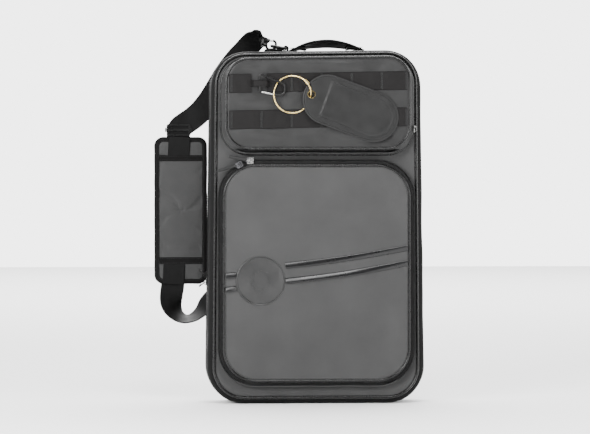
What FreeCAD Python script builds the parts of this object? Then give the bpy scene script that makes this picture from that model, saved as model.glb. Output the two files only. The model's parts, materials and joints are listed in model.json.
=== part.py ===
import FreeCAD, Part
import math
import os

# Drum stick bag, standing upright. Millimetres, +Z up, front face towards -Y.
# Origin: middle of the flat base, on the plane where the two halves zip together.

V = FreeCAD.Vector

# ---- body outline, seen from the front -------------------------------------
HALF_BASE = 149.0            # half width at the base
HALF_TOP = 143.0             # half width at the top
TOP_LEFT = 477.0             # the soft top edge sags a little to the left
TOP_RIGHT = 481.0
CORNER = 49.0
BODY = [(-HALF_BASE, 0.0), (HALF_BASE, 0.0), (HALF_TOP, TOP_RIGHT), (-HALF_TOP, TOP_LEFT)]

# ---- depth of the two halves ------------------------------------------------
REAR_TEETH = (-0.6, 3.2)     # depth of the rear row of teeth
FRONT_TEETH = (-3.2, -1.4)   # depth of the front row
TEETH_THICK = 2.6
TAPE_EDGE = 9.0              # where the zip tape ends
TAPE_THICK = 1.2
GUSSET_WALL = 3.0
CASE_DEPTH = 43.0            # rear half, from the zip to the back edge
LID_STRAIGHT = 24.0          # front half, from the zip to the rounded shoulder
LID_DEPTH = 32.6             # front half, from the zip to the front edge
FRONT_EDGE = [(-139.5, 7.5), (139.5, 7.5), (135.5, 476.5), (-135.5, 472.5)]
FRONT_CORNER = 41.0
PIPING_R = 2.0
SKIN = 1.4                   # coated cloth with its backing
BOARD = 4.0                  # foam board behind each cloth panel
LID_FRONT = 35.6             # front face of the lid's cloth

# ---- stick sleeves inside the rear half ------------------------------------
SLEEVE_TOP = 250.0
SLEEVE_BASE = 12.0
SLEEVE_HALF = 118.0
SLEEVE_FRONT = 27.0
SLEEVE_WALL = 1.6
SLEEVE_COUNT = 4

# ---- lower pocket -----------------------------------------------------------
LOW = [(-127.0, 30.0), (127.0, 30.0), (127.0, 324.0), (-127.0, 324.0)]
LOW_CORNER = 45.0
LOW_ZIP_OUT = 5.0            # the zip line runs this far outside the piping
LOW_WALL_OUT = 7.0
LOW_TAPE_Y = 44.0            # plane of the pocket's zip
LOW_FACE_Y = 50.0            # front of the pocket's cloth

# ---- upper pocket -----------------------------------------------------------
UP = [(-123.0, 344.5), (126.0, 344.5), (126.0, 471.0), (-123.0, 467.0)]
UP_CORNER = 32.0
UP_BASE = [(-128.5, 338.5), (131.0, 338.5), (131.0, 471.0), (-128.5, 467.0)]
UP_BASE_CORNER = 36.0
UP_ZIP_Y = 47.0
UP_FACE_Y = 58.0
ZIP_HALF = 0.3               # half the gap between a pocket zip's two rows

# ---- ladder webbing on the upper pocket ------------------------------------
LADDER_HALF = 12.5
LADDER_THICK = 1.2
LADDER_SLOPE = 0.02
LADDER_TOP_Z = 435.0
LADDER_LOW_Z = 386.0
LADDER_ENDS = (-119.0, 122.0)
TUNNEL_X = -78.0             # where the webbing lifts over the snap hook
TUNNEL_HALF = 8.0
TUNNEL_RISE = 9.6
TUNNEL_Z = (428.5, 437.0)

# ---- badge and stripes on the lower pocket ---------------------------------
BADGE_X, BADGE_Z, BADGE_R = -76.0, 167.0, 33.0
STRIPE_HEIGHT = 5.0
STRIPE_RISE = 1.0
STRIPE_SLOPE = 0.142

# ---- snap hook, cable ring and leather fob on the upper pocket --------------
CLIP_WIRE = 1.5
CLIP_TILT = 0.17             # the hook leans forward at its top
CLIP_PIVOT_Y = -64.0
RING_X, RING_Z = -34.0, 418.0
RING_R = 25.5
RING_WIRE = 1.15
# Depth of the springy cable at each angle: behind the hook's spine, before its gate,
# behind the fob's edge, through the eyelet and over the fob's front.
RING_ROUTE = [(12, -68.3), (30, -69.3), (52, -69.3), (75, -65.0), (100, -62.0), (126, -61.6), (150, -63.6),
              (176, -66.2), (203, -66.2), (230, -63.6), (256, -61.7), (282, -61.0), (308, -60.9),
              (332, -60.9), (348, -61.7)]
FERRULE = (33.0, 50.0)
FERRULE_Y = -69.3
FOB_A, FOB_B = (13.5, 411.0), (75.6, 388.0)
FOB_R = 34.0
FOB_LEAF = 1.2
FOB_Y = -65.0
FOB_LEAN = 0.030             # the fob's far end lies back against the pocket
EYE = (-8.5, 418.0)
EYE_R = 5.8
EYE_BORE = 4.7

# ---- strap and its hardware -------------------------------------------------
STRAP_Y = (54.0, 56.0)
PAD_Y = (50.0, 62.0)
PAD = [(-218.0, 159.0), (-145.0, 159.0), (-145.0, 362.5), (-218.0, 362.5)]
PAD_CORNER = 13.0
PAD_CHANNEL = 0.6
BINDING = 7.0
WIRE = 1.8                   # ring wire radius
HOOK_WIRE = 1.7
STRAP_WIDTH = 32.0
TAB_WIDTH = 25.0
TAB_THICK = 1.6
RING_BAR_UP = 4.2            # ring bar above the surface its tab is sewn to
RING_DEPTH = 19.5
RING_RISE = 12.0             # degrees

# ---- zip sliders ------------------------------------------------------------
SLIDER_HALF_LONG = 4.5
SLIDER_HALF_WIDE = 4.2
SLIDER_CLEAR = 1.7           # from the middle of the teeth to the slider's plates
SLIDER_PLATE = 1.4
ARCH_HALF = 3.4
AXLE_UP = 0.9                # pull's axle above the top plate
SLIDER_POST = (-1.3, -0.7)   # the post that parts the two rows of teeth

# ---- handle -----------------------------------------------------------------
HANDLE_X = (-30.0, 65.0)
HANDLE_Y = (13.5, 38.5)
HANDLE_RISE = (17.0, 8.0)    # of its front edge and its back edge, which leans lower
HANDLE_THICK = 3.0


def unit(vector):
    """The vector's direction."""
    return vector * (1.0 / vector.Length)


def rounded_wire(corners, radius, y=0.0):
    """A closed loop in the plane y, straight between rounded corners."""
    radii = radius if isinstance(radius, list) else [radius] * len(corners)
    points = [V(x, y, z) for x, z in corners]
    starts, mids, ends = [], [], []
    for index, corner in enumerate(points):
        back = unit(points[index - 1] - corner)
        ahead = unit(points[(index + 1) % len(points)] - corner)
        half = back.getAngle(ahead) / 2.0
        reach = radii[index] / math.tan(half)
        middle = unit(back + ahead)
        starts.append(corner + back * reach)
        ends.append(corner + ahead * reach)
        mids.append(corner + middle * (radii[index] / math.sin(half) - radii[index]))
    edges = []
    for index in range(len(points)):
        edges.append(Part.Arc(starts[index], mids[index], ends[index]).toShape())
        following = starts[(index + 1) % len(points)]
        edges.append(Part.LineSegment(ends[index], following).toShape())
    return Part.Wire(edges)


def inset(corners, distance):
    """The corners of a polygon moved inwards by the distance."""
    count = len(corners)
    moved = []
    for index in range(count):
        (ax, az), (bx, bz) = corners[index - 1], corners[index]
        cx, cz = corners[(index + 1) % count]
        back = unit(V(bx - ax, 0, bz - az))
        ahead = unit(V(cx - bx, 0, cz - bz))
        normal_back = V(-back.z, 0, back.x)
        normal_ahead = V(-ahead.z, 0, ahead.x)
        bisector = unit(normal_back + normal_ahead)
        length = distance / bisector.dot(normal_back)
        moved.append((bx + bisector.x * length, bz + bisector.z * length))
    return moved


def loop(corners, radius, distance, y):
    """The outline moved inwards by the distance, as a wire at depth y."""
    return rounded_wire(inset(corners, distance), max(radius - distance, 1.0), y)


def plate(corners, radius, distance, y_low, y_high):
    """A flat sheet with the outline, between two depths."""
    return Part.Face(loop(corners, radius, distance, y_low)).extrude(V(0, y_high - y_low, 0))


def band(corners, radius, outer, inner, y_low, y_high):
    """A strip round the outline, between two insets and two depths."""
    body = plate(corners, radius, outer, y_low, y_high)
    return body.cut(plate(corners, radius, inner, y_low - 1.0, y_high + 1.0))


def slope(start, end, walls, y_start, y_end):
    """A sloping strip between two outlines, each (corners, radius, inset), at two depths."""
    skins = []
    for inner in (False, True):
        loops = []
        for (corners, radius, distance), wall, y in zip((start, end), walls, (y_start, y_end)):
            loops.append(loop(corners, radius, distance + (wall if inner else 0.0), y))
        skins.append(Part.makeLoft(loops, True, True))
    return skins[0].cut(skins[1])


def pipe(wire, radius):
    """A round bar along a wire."""
    first = wire.Edges[0]
    start = first.valueAt(first.FirstParameter)
    along = first.tangentAt(first.FirstParameter)
    profile = Part.Wire([Part.makeCircle(radius, start, along)])
    return wire.makePipeShell([profile], True, False)


def bead(corners, radius, distance, y, thickness):
    """Piping: a round bar along the outline."""
    return pipe(loop(corners, radius, distance, y), thickness)


def box(x, y, z):
    """A block between the given ranges."""
    return Part.makeBox(x[1] - x[0], y[1] - y[0], z[1] - z[0], V(x[0], y[0], z[0]))


def polygon(points, y_low, y_high):
    """A flat sheet with straight edges, between two depths."""
    closed = [V(x, y_low, z) for x, z in points + points[:1]]
    return Part.Face(Part.makePolygon(closed)).extrude(V(0, y_high - y_low, 0))


def rod(start, end, radius):
    """A round bar between two points."""
    return Part.makeCylinder(radius, (end - start).Length, start, end - start)


def placed(shape, origin, along, up):
    """The shape moved from its own axes to the origin, with its X along and Z up."""
    x_axis = unit(along)
    z_axis = unit(up - x_axis * x_axis.dot(up))
    y_axis = z_axis.cross(x_axis)
    matrix = FreeCAD.Matrix(
        x_axis.x, y_axis.x, z_axis.x, origin.x,
        x_axis.y, y_axis.y, z_axis.y, origin.y,
        x_axis.z, y_axis.z, z_axis.z, origin.z,
        0, 0, 0, 1)
    copy = shape.copy()
    copy.transformShape(matrix)
    return copy


def top_edge(x):
    """Height of the body's top edge at x."""
    return TOP_LEFT + (TOP_RIGHT - TOP_LEFT) * (x + HALF_TOP) / (2 * HALF_TOP)


def side_edge(z):
    """Half width of the body at height z, measured on the left side."""
    return HALF_BASE - (HALF_BASE - HALF_TOP) * z / TOP_LEFT


# ---- rear half --------------------------------------------------------------

def rear_half():
    """The rear half's cloth, board, gusset, piping and row of teeth."""
    tape = band(BODY, CORNER, 0.7, 0.7 + TAPE_THICK, REAR_TEETH[1] - 1.0, TAPE_EDGE)
    teeth = band(BODY, CORNER, 0.0, TEETH_THICK, *REAR_TEETH)
    return {
        "rear_gusset": band(BODY, CORNER, 0.0, GUSSET_WALL, TAPE_EDGE + 0.1, CASE_DEPTH),
        "rear_piping": bead(BODY, CORNER, PIPING_R + 0.2, CASE_DEPTH + PIPING_R, PIPING_R),
        "rear_panel": plate(BODY, CORNER, 2 * PIPING_R + 0.4, CASE_DEPTH + 1.6, CASE_DEPTH + 1.6 + SKIN),
        "rear_foam_board": plate(BODY, CORNER, 5.0, CASE_DEPTH - 2.5, CASE_DEPTH - 2.5 + BOARD),
        "rear_zip_half": tape.fuse(teeth).removeSplitter(),
    }


def stick_sleeves():
    """A gusseted cloth panel that makes a row of stick sleeves on the rear board."""
    outer = box((-SLEEVE_HALF, SLEEVE_HALF), (SLEEVE_FRONT, CASE_DEPTH - 2.6), (SLEEVE_BASE, SLEEVE_TOP))
    width = (2 * SLEEVE_HALF - SLEEVE_WALL) / SLEEVE_COUNT
    for index in range(SLEEVE_COUNT):
        low = -SLEEVE_HALF + SLEEVE_WALL + index * width
        hollow = box((low, low + width - SLEEVE_WALL),
                     (SLEEVE_FRONT + SLEEVE_WALL, CASE_DEPTH),
                     (SLEEVE_BASE + SLEEVE_WALL, SLEEVE_TOP + 1.0))
        outer = outer.cut(hollow)
    return {"stick_sleeves": outer}


def handle():
    """Webbing handle sewn to the top of the rear half, with a stitched tab over each end."""
    left, right = HANDLE_X
    middle = (left + right) / 2.0
    lift = V(0, 0, HANDLE_THICK)
    edges = []
    for y, rise in zip(HANDLE_Y, HANDLE_RISE):
        low_left = V(left, y, top_edge(left) + 2.9)
        low_right = V(right, y, top_edge(right) + 2.9)
        low_top = V(middle, y, top_edge(middle) + rise - HANDLE_THICK)
        edges.append(Part.Wire([
            Part.Arc(low_left, low_top, low_right).toShape(),
            Part.LineSegment(low_right, low_right + lift).toShape(),
            Part.Arc(low_right + lift, low_top + lift, low_left + lift).toShape(),
            Part.LineSegment(low_left + lift, low_left).toShape()]))
    tabs = []
    for end, side in ((left, -1), (right, 1)):
        inner = end - side * 20.0
        low, high = min(inner, end + side * 4.0), max(inner, end + side * 4.0)
        base = max(top_edge(low), top_edge(high))
        tabs.append(box((low, high), HANDLE_Y, (base + 0.05, base + 2.2)))
    return {
        "handle_webbing": Part.makeLoft(edges, True, True),
        "handle_tabs": Part.makeCompound(tabs),
    }


# ---- front half -------------------------------------------------------------

def front_half():
    """The front half's cloth, board, gusset, piping and row of teeth."""
    tape = band(BODY, CORNER, 0.7, 0.7 + TAPE_THICK, -TAPE_EDGE, FRONT_TEETH[0] + 1.0)
    teeth = band(BODY, CORNER, 0.0, TEETH_THICK, *FRONT_TEETH)
    straight = band(BODY, CORNER, 0.0, GUSSET_WALL, -LID_STRAIGHT, -TAPE_EDGE - 0.1)
    front = slope((BODY, CORNER, 0.0), (FRONT_EDGE, FRONT_CORNER, 0.0),
                  (GUSSET_WALL, GUSSET_WALL), -LID_STRAIGHT, -LID_DEPTH)
    piping_y = -LID_FRONT + 0.6
    return {
        "front_gusset": straight.fuse(front).removeSplitter(),
        "front_piping": bead(FRONT_EDGE, FRONT_CORNER, 0.3, piping_y, PIPING_R),
        "front_panel": plate(FRONT_EDGE, FRONT_CORNER, 2.5, -LID_FRONT, SKIN - LID_FRONT),
        "front_foam_board": plate(FRONT_EDGE, FRONT_CORNER, 4.0,
                                  SKIN - LID_FRONT + 0.1, SKIN - LID_FRONT + 0.1 + BOARD),
        "front_zip_half": tape.fuse(teeth).removeSplitter(),
    }


def lower_pocket():
    """The large pocket: its wall and zip on the lid, and the face that folds down."""
    back = -LID_FRONT - 0.1
    wall = band(LOW, LOW_CORNER, -LOW_WALL_OUT, 1.4 - LOW_WALL_OUT, -LOW_TAPE_Y, back)
    outer_row = band(LOW, LOW_CORNER, -LOW_WALL_OUT, -LOW_ZIP_OUT - ZIP_HALF, -LOW_TAPE_Y - 1.6, -LOW_TAPE_Y)
    inner_row = band(LOW, LOW_CORNER, ZIP_HALF - LOW_ZIP_OUT, 0.4, -LOW_TAPE_Y - 1.6, -LOW_TAPE_Y)
    below = box((-160, 160), (-60, -30), (0, LOW[0][1] + 0.01))
    face = plate(LOW, LOW_CORNER, 3.5, -LOW_FACE_Y, 1.2 - LOW_FACE_Y)
    rim = band(LOW, LOW_CORNER, 3.5, 5.0, 1.2 - LOW_FACE_Y, -LOW_TAPE_Y - 1.7)
    stripes = []
    for height in (18.0, -2.5):
        start, end = BADGE_X + BADGE_R + 1.0, LOW[1][0] - 4.0
        base = BADGE_Z + height
        rise = STRIPE_SLOPE * (end - start)
        stripes.append(polygon([(start, base), (end, base + rise),
                                (end, base + rise + STRIPE_HEIGHT), (start, base + STRIPE_HEIGHT)],
                               -LOW_FACE_Y - STRIPE_RISE, -LOW_FACE_Y))
        stub_end = BADGE_X - BADGE_R - 1.0
        stub = LOW[0][0] + 4.0
        low = base - 14.0 * (1.0 if height > 0 else 0.85)
        stripes.append(polygon([(stub, low), (stub_end, low + 1.2),
                                (stub_end, low + 1.2 + STRIPE_HEIGHT), (stub, low + STRIPE_HEIGHT)],
                               -LOW_FACE_Y - STRIPE_RISE, -LOW_FACE_Y))
    badge = Part.makeCylinder(BADGE_R, 2.2, V(BADGE_X, -LOW_FACE_Y, BADGE_Z), V(0, -1, 0))
    recess = Part.makeCylinder(BADGE_R - 3.0, 1.0, V(BADGE_X, -LOW_FACE_Y - 1.4, BADGE_Z), V(0, -1, 0))
    return {
        "lower_pocket_wall": wall,
        "lower_zip_outer": outer_row.cut(below),
        "lower_pocket_face": face.fuse(rim).removeSplitter(),
        "lower_zip_inner": inner_row.cut(below),
        "lower_pocket_piping": bead(LOW, LOW_CORNER, 1.4, 1.4 - LOW_FACE_Y, PIPING_R),
        "round_badge": badge.cut(recess),
        "raised_stripes": Part.makeCompound(stripes),
    }


def upper_pocket():
    """The raised pocket: its wall, base piping and zip, and the face that folds down."""
    back = -LID_FRONT - 0.1
    bead_y = back - PIPING_R
    wall = band(UP_BASE, UP_BASE_CORNER, 0.0, 1.6, -UP_ZIP_Y + 2.0, bead_y - PIPING_R)
    outer_row = band(UP_BASE, UP_BASE_CORNER, 0.4, 2.4, -UP_ZIP_Y + ZIP_HALF, -UP_ZIP_Y + 1.9)
    inner_row = band(UP_BASE, UP_BASE_CORNER, 0.4, 2.4, -UP_ZIP_Y - 1.9, -UP_ZIP_Y - ZIP_HALF)
    below = box((-160, 160), (-60, -30), (0, UP[0][1]))
    face = plate(UP, UP_CORNER, 2.8, -UP_FACE_Y, 1.2 - UP_FACE_Y)
    lip = band(UP, UP_CORNER, 2.8, 4.2, 1.2 - UP_FACE_Y, 3.6 - UP_FACE_Y)
    rim = slope((UP, UP_CORNER, 0.5), (UP_BASE, UP_BASE_CORNER, 0.0), (3.7, 1.6),
                3.5 - UP_FACE_Y, -UP_ZIP_Y - 2.0)
    trimmed = box((-160, 160), (-60, -30), (0, UP[0][1] - 0.5))
    return {
        "upper_pocket_wall": wall,
        "upper_base_piping": bead(UP_BASE, UP_BASE_CORNER, -0.4, bead_y, PIPING_R - 0.1),
        "upper_zip_outer": outer_row.cut(below),
        "upper_zip_inner": inner_row.cut(below),
        "upper_pocket_face": face.fuse([lip, rim]).cut(trimmed).removeSplitter(),
        "upper_pocket_piping": bead(UP, UP_CORNER, 0.8, 1.4 - UP_FACE_Y, PIPING_R),
    }


def ladder(z_middle, tunnel):
    """One row of webbing across the upper pocket; the tunnel lifts it over the snap hook."""
    front = -UP_FACE_Y - 0.4 - LADDER_THICK
    back = -UP_FACE_Y - 0.4

    def strip(low, high):
        return polygon([(low, z_middle - LADDER_HALF + LADDER_SLOPE * low),
                        (high, z_middle - LADDER_HALF + LADDER_SLOPE * high),
                        (high, z_middle + LADDER_HALF + LADDER_SLOPE * high),
                        (low, z_middle + LADDER_HALF + LADDER_SLOPE * low)], front, back)

    if not tunnel:
        return strip(*LADDER_ENDS)
    inner, outer = TUNNEL_HALF, TUNNEL_HALF + 6.0
    left = strip(LADDER_ENDS[0], TUNNEL_X - outer + 1.0)
    right = strip(TUNNEL_X + outer - 1.0, LADDER_ENDS[1])
    ridge = front - TUNNEL_RISE
    outline = [(TUNNEL_X - outer, back), (TUNNEL_X - outer, front), (TUNNEL_X - inner, ridge),
               (TUNNEL_X + inner, ridge), (TUNNEL_X + outer, front), (TUNNEL_X + outer, back),
               (TUNNEL_X + inner, ridge + LADDER_THICK), (TUNNEL_X - inner, ridge + LADDER_THICK)]
    points = [V(x, y, TUNNEL_Z[0]) for x, y in outline + outline[:1]]
    raised = Part.Face(Part.makePolygon(points)).extrude(V(0, 0, TUNNEL_Z[1] - TUNNEL_Z[0]))
    return left.fuse([raised, right]).removeSplitter()


# ---- snap hook, cable ring and fob -------------------------------------------

def key_clip():
    """The wire snap hook that hangs on the top row of webbing, and its gate."""
    outline = [(TUNNEL_X, 421.5), (-62.0, 418.0), (-44.5, 416.0), (-44.5, 432.0), (TUNNEL_X, 446.0)]
    radii = [2.4, 60.0, 7.0, 6.0, 2.4]
    bar = pipe(rounded_wire(outline, radii), CLIP_WIRE)
    pivot, tip = V(-61.0, 0, 418.25), V(-75.4, 0, 421.2)
    along = unit(tip - pivot)
    opening = rod(pivot - along * 1.7, tip + along * 0.6, CLIP_WIRE + 0.6)
    gate = rod(pivot, tip, CLIP_WIRE - 0.3).fuse(Part.makeSphere(CLIP_WIRE - 0.3, pivot))
    lean = V(0, -CLIP_TILT, 1.0)
    base = V(0, CLIP_PIVOT_Y, 427.0)
    parts = []
    for shape in (bar.cut(opening), gate):
        shape.translate(V(0, 0, -427.0))
        parts.append(placed(shape, base, V(1, 0, 0), lean))
    return {"snap_hook_body": parts[0], "snap_hook_gate": parts[1]}


def ring_point(angle, depth):
    """A point on the cable ring at an angle in degrees from +X."""
    turn = math.radians(angle)
    return V(RING_X + RING_R * math.cos(turn), depth, RING_Z + RING_R * math.sin(turn))


def key_ring():
    """The cable ring, as runs with round knees, and the screw ferrule that joins its ends."""
    points = [ring_point(angle, depth) for angle, depth in RING_ROUTE]
    pieces = []
    for index, point in enumerate(points):
        pieces.append(Part.makeSphere(RING_WIRE, point))
        pieces.append(rod(points[index - 1], point, RING_WIRE))
    cable = pieces[0].fuse(pieces[1:])
    sleeve = rod(ring_point(FERRULE[0], FERRULE_Y), ring_point(FERRULE[1], FERRULE_Y), 2.3)
    return {"cable_ring": cable.cut(sleeve), "ring_ferrule": sleeve}


def fob_outline():
    """The fob's capsule outline at y=0."""
    ax, az = FOB_A
    bx, bz = FOB_B
    along = unit(V(bx - ax, 0, bz - az))
    side = V(-along.z, 0, along.x) * FOB_R
    reach = along * FOB_R
    start, end = V(ax, 0, az), V(bx, 0, bz)
    return Part.Wire([
        Part.Arc(start + side, start - reach, start - side).toShape(),
        Part.LineSegment(start - side, end - side).toShape(),
        Part.Arc(end - side, end + reach, end + side).toShape(),
        Part.LineSegment(end + side, start + side).toShape()])


def fob():
    """Two leather leaves sewn round the edge, and the metal eyelet at their end."""
    front = V(0, -1, 0)
    hole = Part.makeCylinder(EYE_R, 20.0, V(EYE[0], 10, EYE[1]), front)
    leaves = {}
    for name, y in (("fob_back_leaf", FOB_LEAF + 0.02), ("fob_front_leaf", -0.02)):
        sheet = Part.Face(fob_outline()).extrude(V(0, -FOB_LEAF, 0))
        sheet.translate(V(0, y, 0))
        leaves[name] = sheet.cut(hole)
    half_thick = FOB_LEAF + 0.25
    rim = Part.makeCylinder(EYE_R - 0.05, 2 * half_thick, V(EYE[0], half_thick, EYE[1]), front)
    bore = Part.makeCylinder(EYE_BORE, 20.0, V(EYE[0], 10, EYE[1]), front)
    leaves["fob_eyelet"] = rim.cut(bore)
    moved = {}
    for name, shape in leaves.items():
        shape.translate(V(-EYE[0], 0, -EYE[1]))
        moved[name] = placed(shape, V(EYE[0], FOB_Y, EYE[1]), V(1, FOB_LEAN, 0), V(0, 0, 1))
    return moved


# ---- strap, pad and hardware --------------------------------------------------

def ring_set(upright):
    """A sewn tab, its D-ring, and the swivel hook that clips to the ring.

    Made with the sewn surface at z=0, the ring's bar along Y and the hook towards -X. The
    strap leaves upwards when upright, and otherwise straight on towards -X.
    """
    bar_z = RING_BAR_UP
    half = TAB_WIDTH / 2.0
    flat = box((-30.0, 0.0), (-half, half), (0.0, TAB_THICK))
    roll = Part.makeCylinder(bar_z, TAB_WIDTH, V(0, -half, bar_z), V(0, 1, 0))
    hollow = Part.makeCylinder(WIRE + 0.3, TAB_WIDTH + 2, V(0, -half - 1, bar_z), V(0, 1, 0))
    tab = flat.fuse(roll).cut(hollow).removeSplitter()

    wide = half + 0.5 + WIRE
    d_shape = [(0.0, -wide), (0.0, wide), (-RING_DEPTH, wide), (-RING_DEPTH, -wide)]
    d_ring = pipe(rounded_wire(d_shape, [2.5, 2.5, wide - 2.0, wide - 2.0]), WIRE)
    rise = math.radians(RING_RISE)
    along = V(math.cos(rise), 0, -math.sin(rise))
    d_ring = placed(d_ring, V(0, 0, bar_z), along, V(0, 1, 0))

    jaw_low, jaw_high = TAB_THICK + HOOK_WIRE + 0.3, 15.6
    jaw = [(-13.0, jaw_low), (-13.0, jaw_high), (-26.0, jaw_high), (-26.0, jaw_low)]
    body = pipe(rounded_wire(jaw, 4.5), HOOK_WIRE)
    pivot = V(-20.4, 0, jaw_high)
    opening = rod(V(-22.2, 0, jaw_high), V(-17.0, 0, jaw_high), HOOK_WIRE + 0.5)
    tip = V(-17.3, 0, jaw_high)
    gate = rod(pivot, tip, HOOK_WIRE - 0.3).fuse(Part.makeSphere(HOOK_WIRE - 0.3, pivot))
    middle = (jaw_low + jaw_high) / 2.0
    stem = rod(V(-26.0, 0, middle), V(-32.0, 0, middle), 2.6)
    slot_half = STRAP_WIDTH / 2.0 + 0.5 + 1.5
    slot = [(-slot_half, 0.0), (slot_half, 0.0), (slot_half, 6.6), (-slot_half, 6.6)]
    frame = pipe(rounded_wire(slot, 2.2), 1.5)
    if upright:
        frame = placed(frame, V(-32.0, 0, middle), V(0, 1, 0), V(0, 0, 1))
    else:
        frame = placed(frame, V(-32.0, 0, middle), V(0, 1, 0), V(-1, 0, 0))
    body = body.cut(opening).fuse([stem, frame]).removeSplitter()
    return tab, d_ring, body, gate


def strap_hardware():
    """The two sets of tab, ring and hook: one on top, one low on the back."""
    parts = {}
    top = V(-38.5, 24.5, top_edge(-38.5) + 0.1)
    back = V(-74.5, CASE_DEPTH + 1.6 + SKIN + 0.1, 145.0)
    for prefix, upright, origin, along, up in (
            ("top", True, top, V(1, 0, 0), V(0, 0, 1)),
            ("low", False, back, V(1, 0, 0), V(0, 1, 0))):
        names = ("ring_tab", "d_ring", "hook_body", "hook_gate")
        for name, shape in zip(names, ring_set(upright)):
            parts[prefix + "_" + name] = placed(shape, origin, along, up)
    return parts


def strap():
    """The shoulder strap: folded over the top hook, down through the pad, and up to the low hook."""
    low, high = STRAP_Y
    upper = polygon([(-68, 500), (-72, 507), (-98, 497), (-127, 463), (-152, 423), (-171, 398),
                     (-200, 388), (-200, 362), (-169, 362), (-169, 387), (-152, 387), (-142, 391),
                     (-80, 480)], low, high)
    through = polygon([(-200, 362.1), (-207, 158), (-175, 158), (-169, 362.1)], low, high)
    lower = polygon([(-207, 158.1), (-209, 146), (-208, 132), (-198, 117), (-189, 112), (-174, 105),
                     (-161, 112), (-152, 124), (-130, 126), (-117.5, 129), (-117.5, 161),
                     (-133, 154), (-150, 134), (-160, 121), (-180, 114), (-181, 130),
                     (-175, 158.1)], low, high)
    top_z = top_edge(-38.5) + 0.1
    slot_x = -38.5 - 32.0
    bar_z = top_z + (TAB_THICK + HOOK_WIRE + 0.3 + 15.6) / 2.0 + 6.6
    y_low, y_high = 24.5 - STRAP_WIDTH / 2.0, 24.5 + STRAP_WIDTH / 2.0
    loop_out, loop_in = 3.5, 1.7
    fold = Part.makeCylinder(loop_out, STRAP_WIDTH, V(slot_x, y_low, bar_z), V(0, 1, 0))
    fold = fold.cut(Part.makeCylinder(loop_in, STRAP_WIDTH + 2, V(slot_x, y_low - 1, bar_z), V(0, 1, 0)))
    stand = box((slot_x - loop_out, slot_x + loop_out), (y_low, high), (bar_z + 1.7, 507.0))
    return {"strap_webbing": upper.fuse([through, lower, stand, fold]).removeSplitter()}


def pad():
    """The shoulder pad with its bound edge and two stitched bands, free to slide on the strap."""
    middle_low, middle_high = STRAP_Y[0] - PAD_CHANNEL, STRAP_Y[1] + PAD_CHANNEL
    channel = polygon([(-204, 364), (-211, 157), (-171, 157), (-165.5, 364)], middle_low, middle_high)
    core = plate(PAD, PAD_CORNER, BINDING, PAD_Y[0] + 0.6, PAD_Y[1] - 0.6).cut(channel)
    edge = band(PAD, PAD_CORNER, 0.0, BINDING, *PAD_Y).cut(channel)
    bands = []
    for z_low, z_high in ((187, 196), (329, 337)):
        bands.append(box((-211, -152), (PAD_Y[0] - 0.8, PAD_Y[0] + 0.5), (z_low, z_high)))
    return {
        "shoulder_pad": core,
        "pad_binding": edge,
        "pad_cross_bands": Part.makeCompound(bands),
    }


def strap_adjuster():
    """The two-slot slider that sets the strap's length, just above the pad."""
    outline = [(-16.5, -8), (16.5, -8), (16.5, 8), (-16.5, 8)]
    frame = plate(outline, 2.5, 0.0, STRAP_Y[0] - 2.2, STRAP_Y[1] + 2.2)
    passage = box((-17.5, 17.5), (STRAP_Y[0] - 0.4, STRAP_Y[1] + 0.4), (-9, 9))
    slots = [box((-14.0, 14.0), (STRAP_Y[0] - 4, STRAP_Y[1] + 4), span) for span in ((-6, -1.6), (1.6, 6))]
    frame = frame.cut(slots[0]).cut(slots[1]).cut(passage)
    rails = [rod(V(side, STRAP_Y[0] - 1.3, 0), V(side, STRAP_Y[1] + 1.3, 0), 1.2) for side in (-17.6, 17.6)]
    links = [box((min(side, side * 0.9), max(side, side * 0.9)), (STRAP_Y[0] - 2.2, STRAP_Y[1] + 2.2), (-3, 3))
             for side in (-18.6, 18.6)]
    whole = frame.fuse(rails + links).removeSplitter()
    whole.translate(V(-184.5, 0, 372.0))
    return {"strap_adjuster": whole}


# ---- zip sliders and pulls ------------------------------------------------------


def slider(under=True):
    """A zip slider: travel along X, top along Z, with its plates either side of the teeth."""
    high = SLIDER_CLEAR + SLIDER_PLATE
    wide = (-SLIDER_HALF_WIDE, SLIDER_HALF_WIDE)
    top = box((-SLIDER_HALF_LONG, SLIDER_HALF_LONG), wide, (SLIDER_CLEAR, high))
    arch = box((-ARCH_HALF, ARCH_HALF), (-0.9, 0.9), (high, high + 2.5))
    tunnel = box((0.8 - ARCH_HALF, ARCH_HALF - 0.8), (-2, 2), (high, high + 1.8))
    parts = [arch.cut(tunnel)]
    if under:
        low = -SLIDER_CLEAR
        parts.append(box((-SLIDER_HALF_LONG, SLIDER_HALF_LONG), wide, (low - 1.0, low)))
        parts.append(box((-1.4, 1.4), SLIDER_POST, (low, SLIDER_CLEAR)))
    return top.fuse(parts).removeSplitter()


def pull(length, width, sideways=0.0):
    """A pull: a wire frame on its axle, then a strip that runs on or trails sideways."""
    axle = rod(V(0, -2.9, 0), V(0, 2.9, 0), 0.6)
    legs = [box((0, 5.2), (low, low + 0.9), (-0.6, 0.6)) for low in (-2.9, 2.0)]
    cross = box((4.3, 6.0), (-2.9, 2.9), (-0.6, 0.6))
    if sideways:
        start, end = sorted((-width / 2.0, sideways))
        strip = box((5.8, 5.8 + width), (start, end), (-0.7, 0.7))
    else:
        strip = box((5.8, 5.8 + length), (-width / 2.0, width / 2.0), (-0.7, 0.7))
    return axle.fuse(legs + [cross, strip]).removeSplitter()


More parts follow.
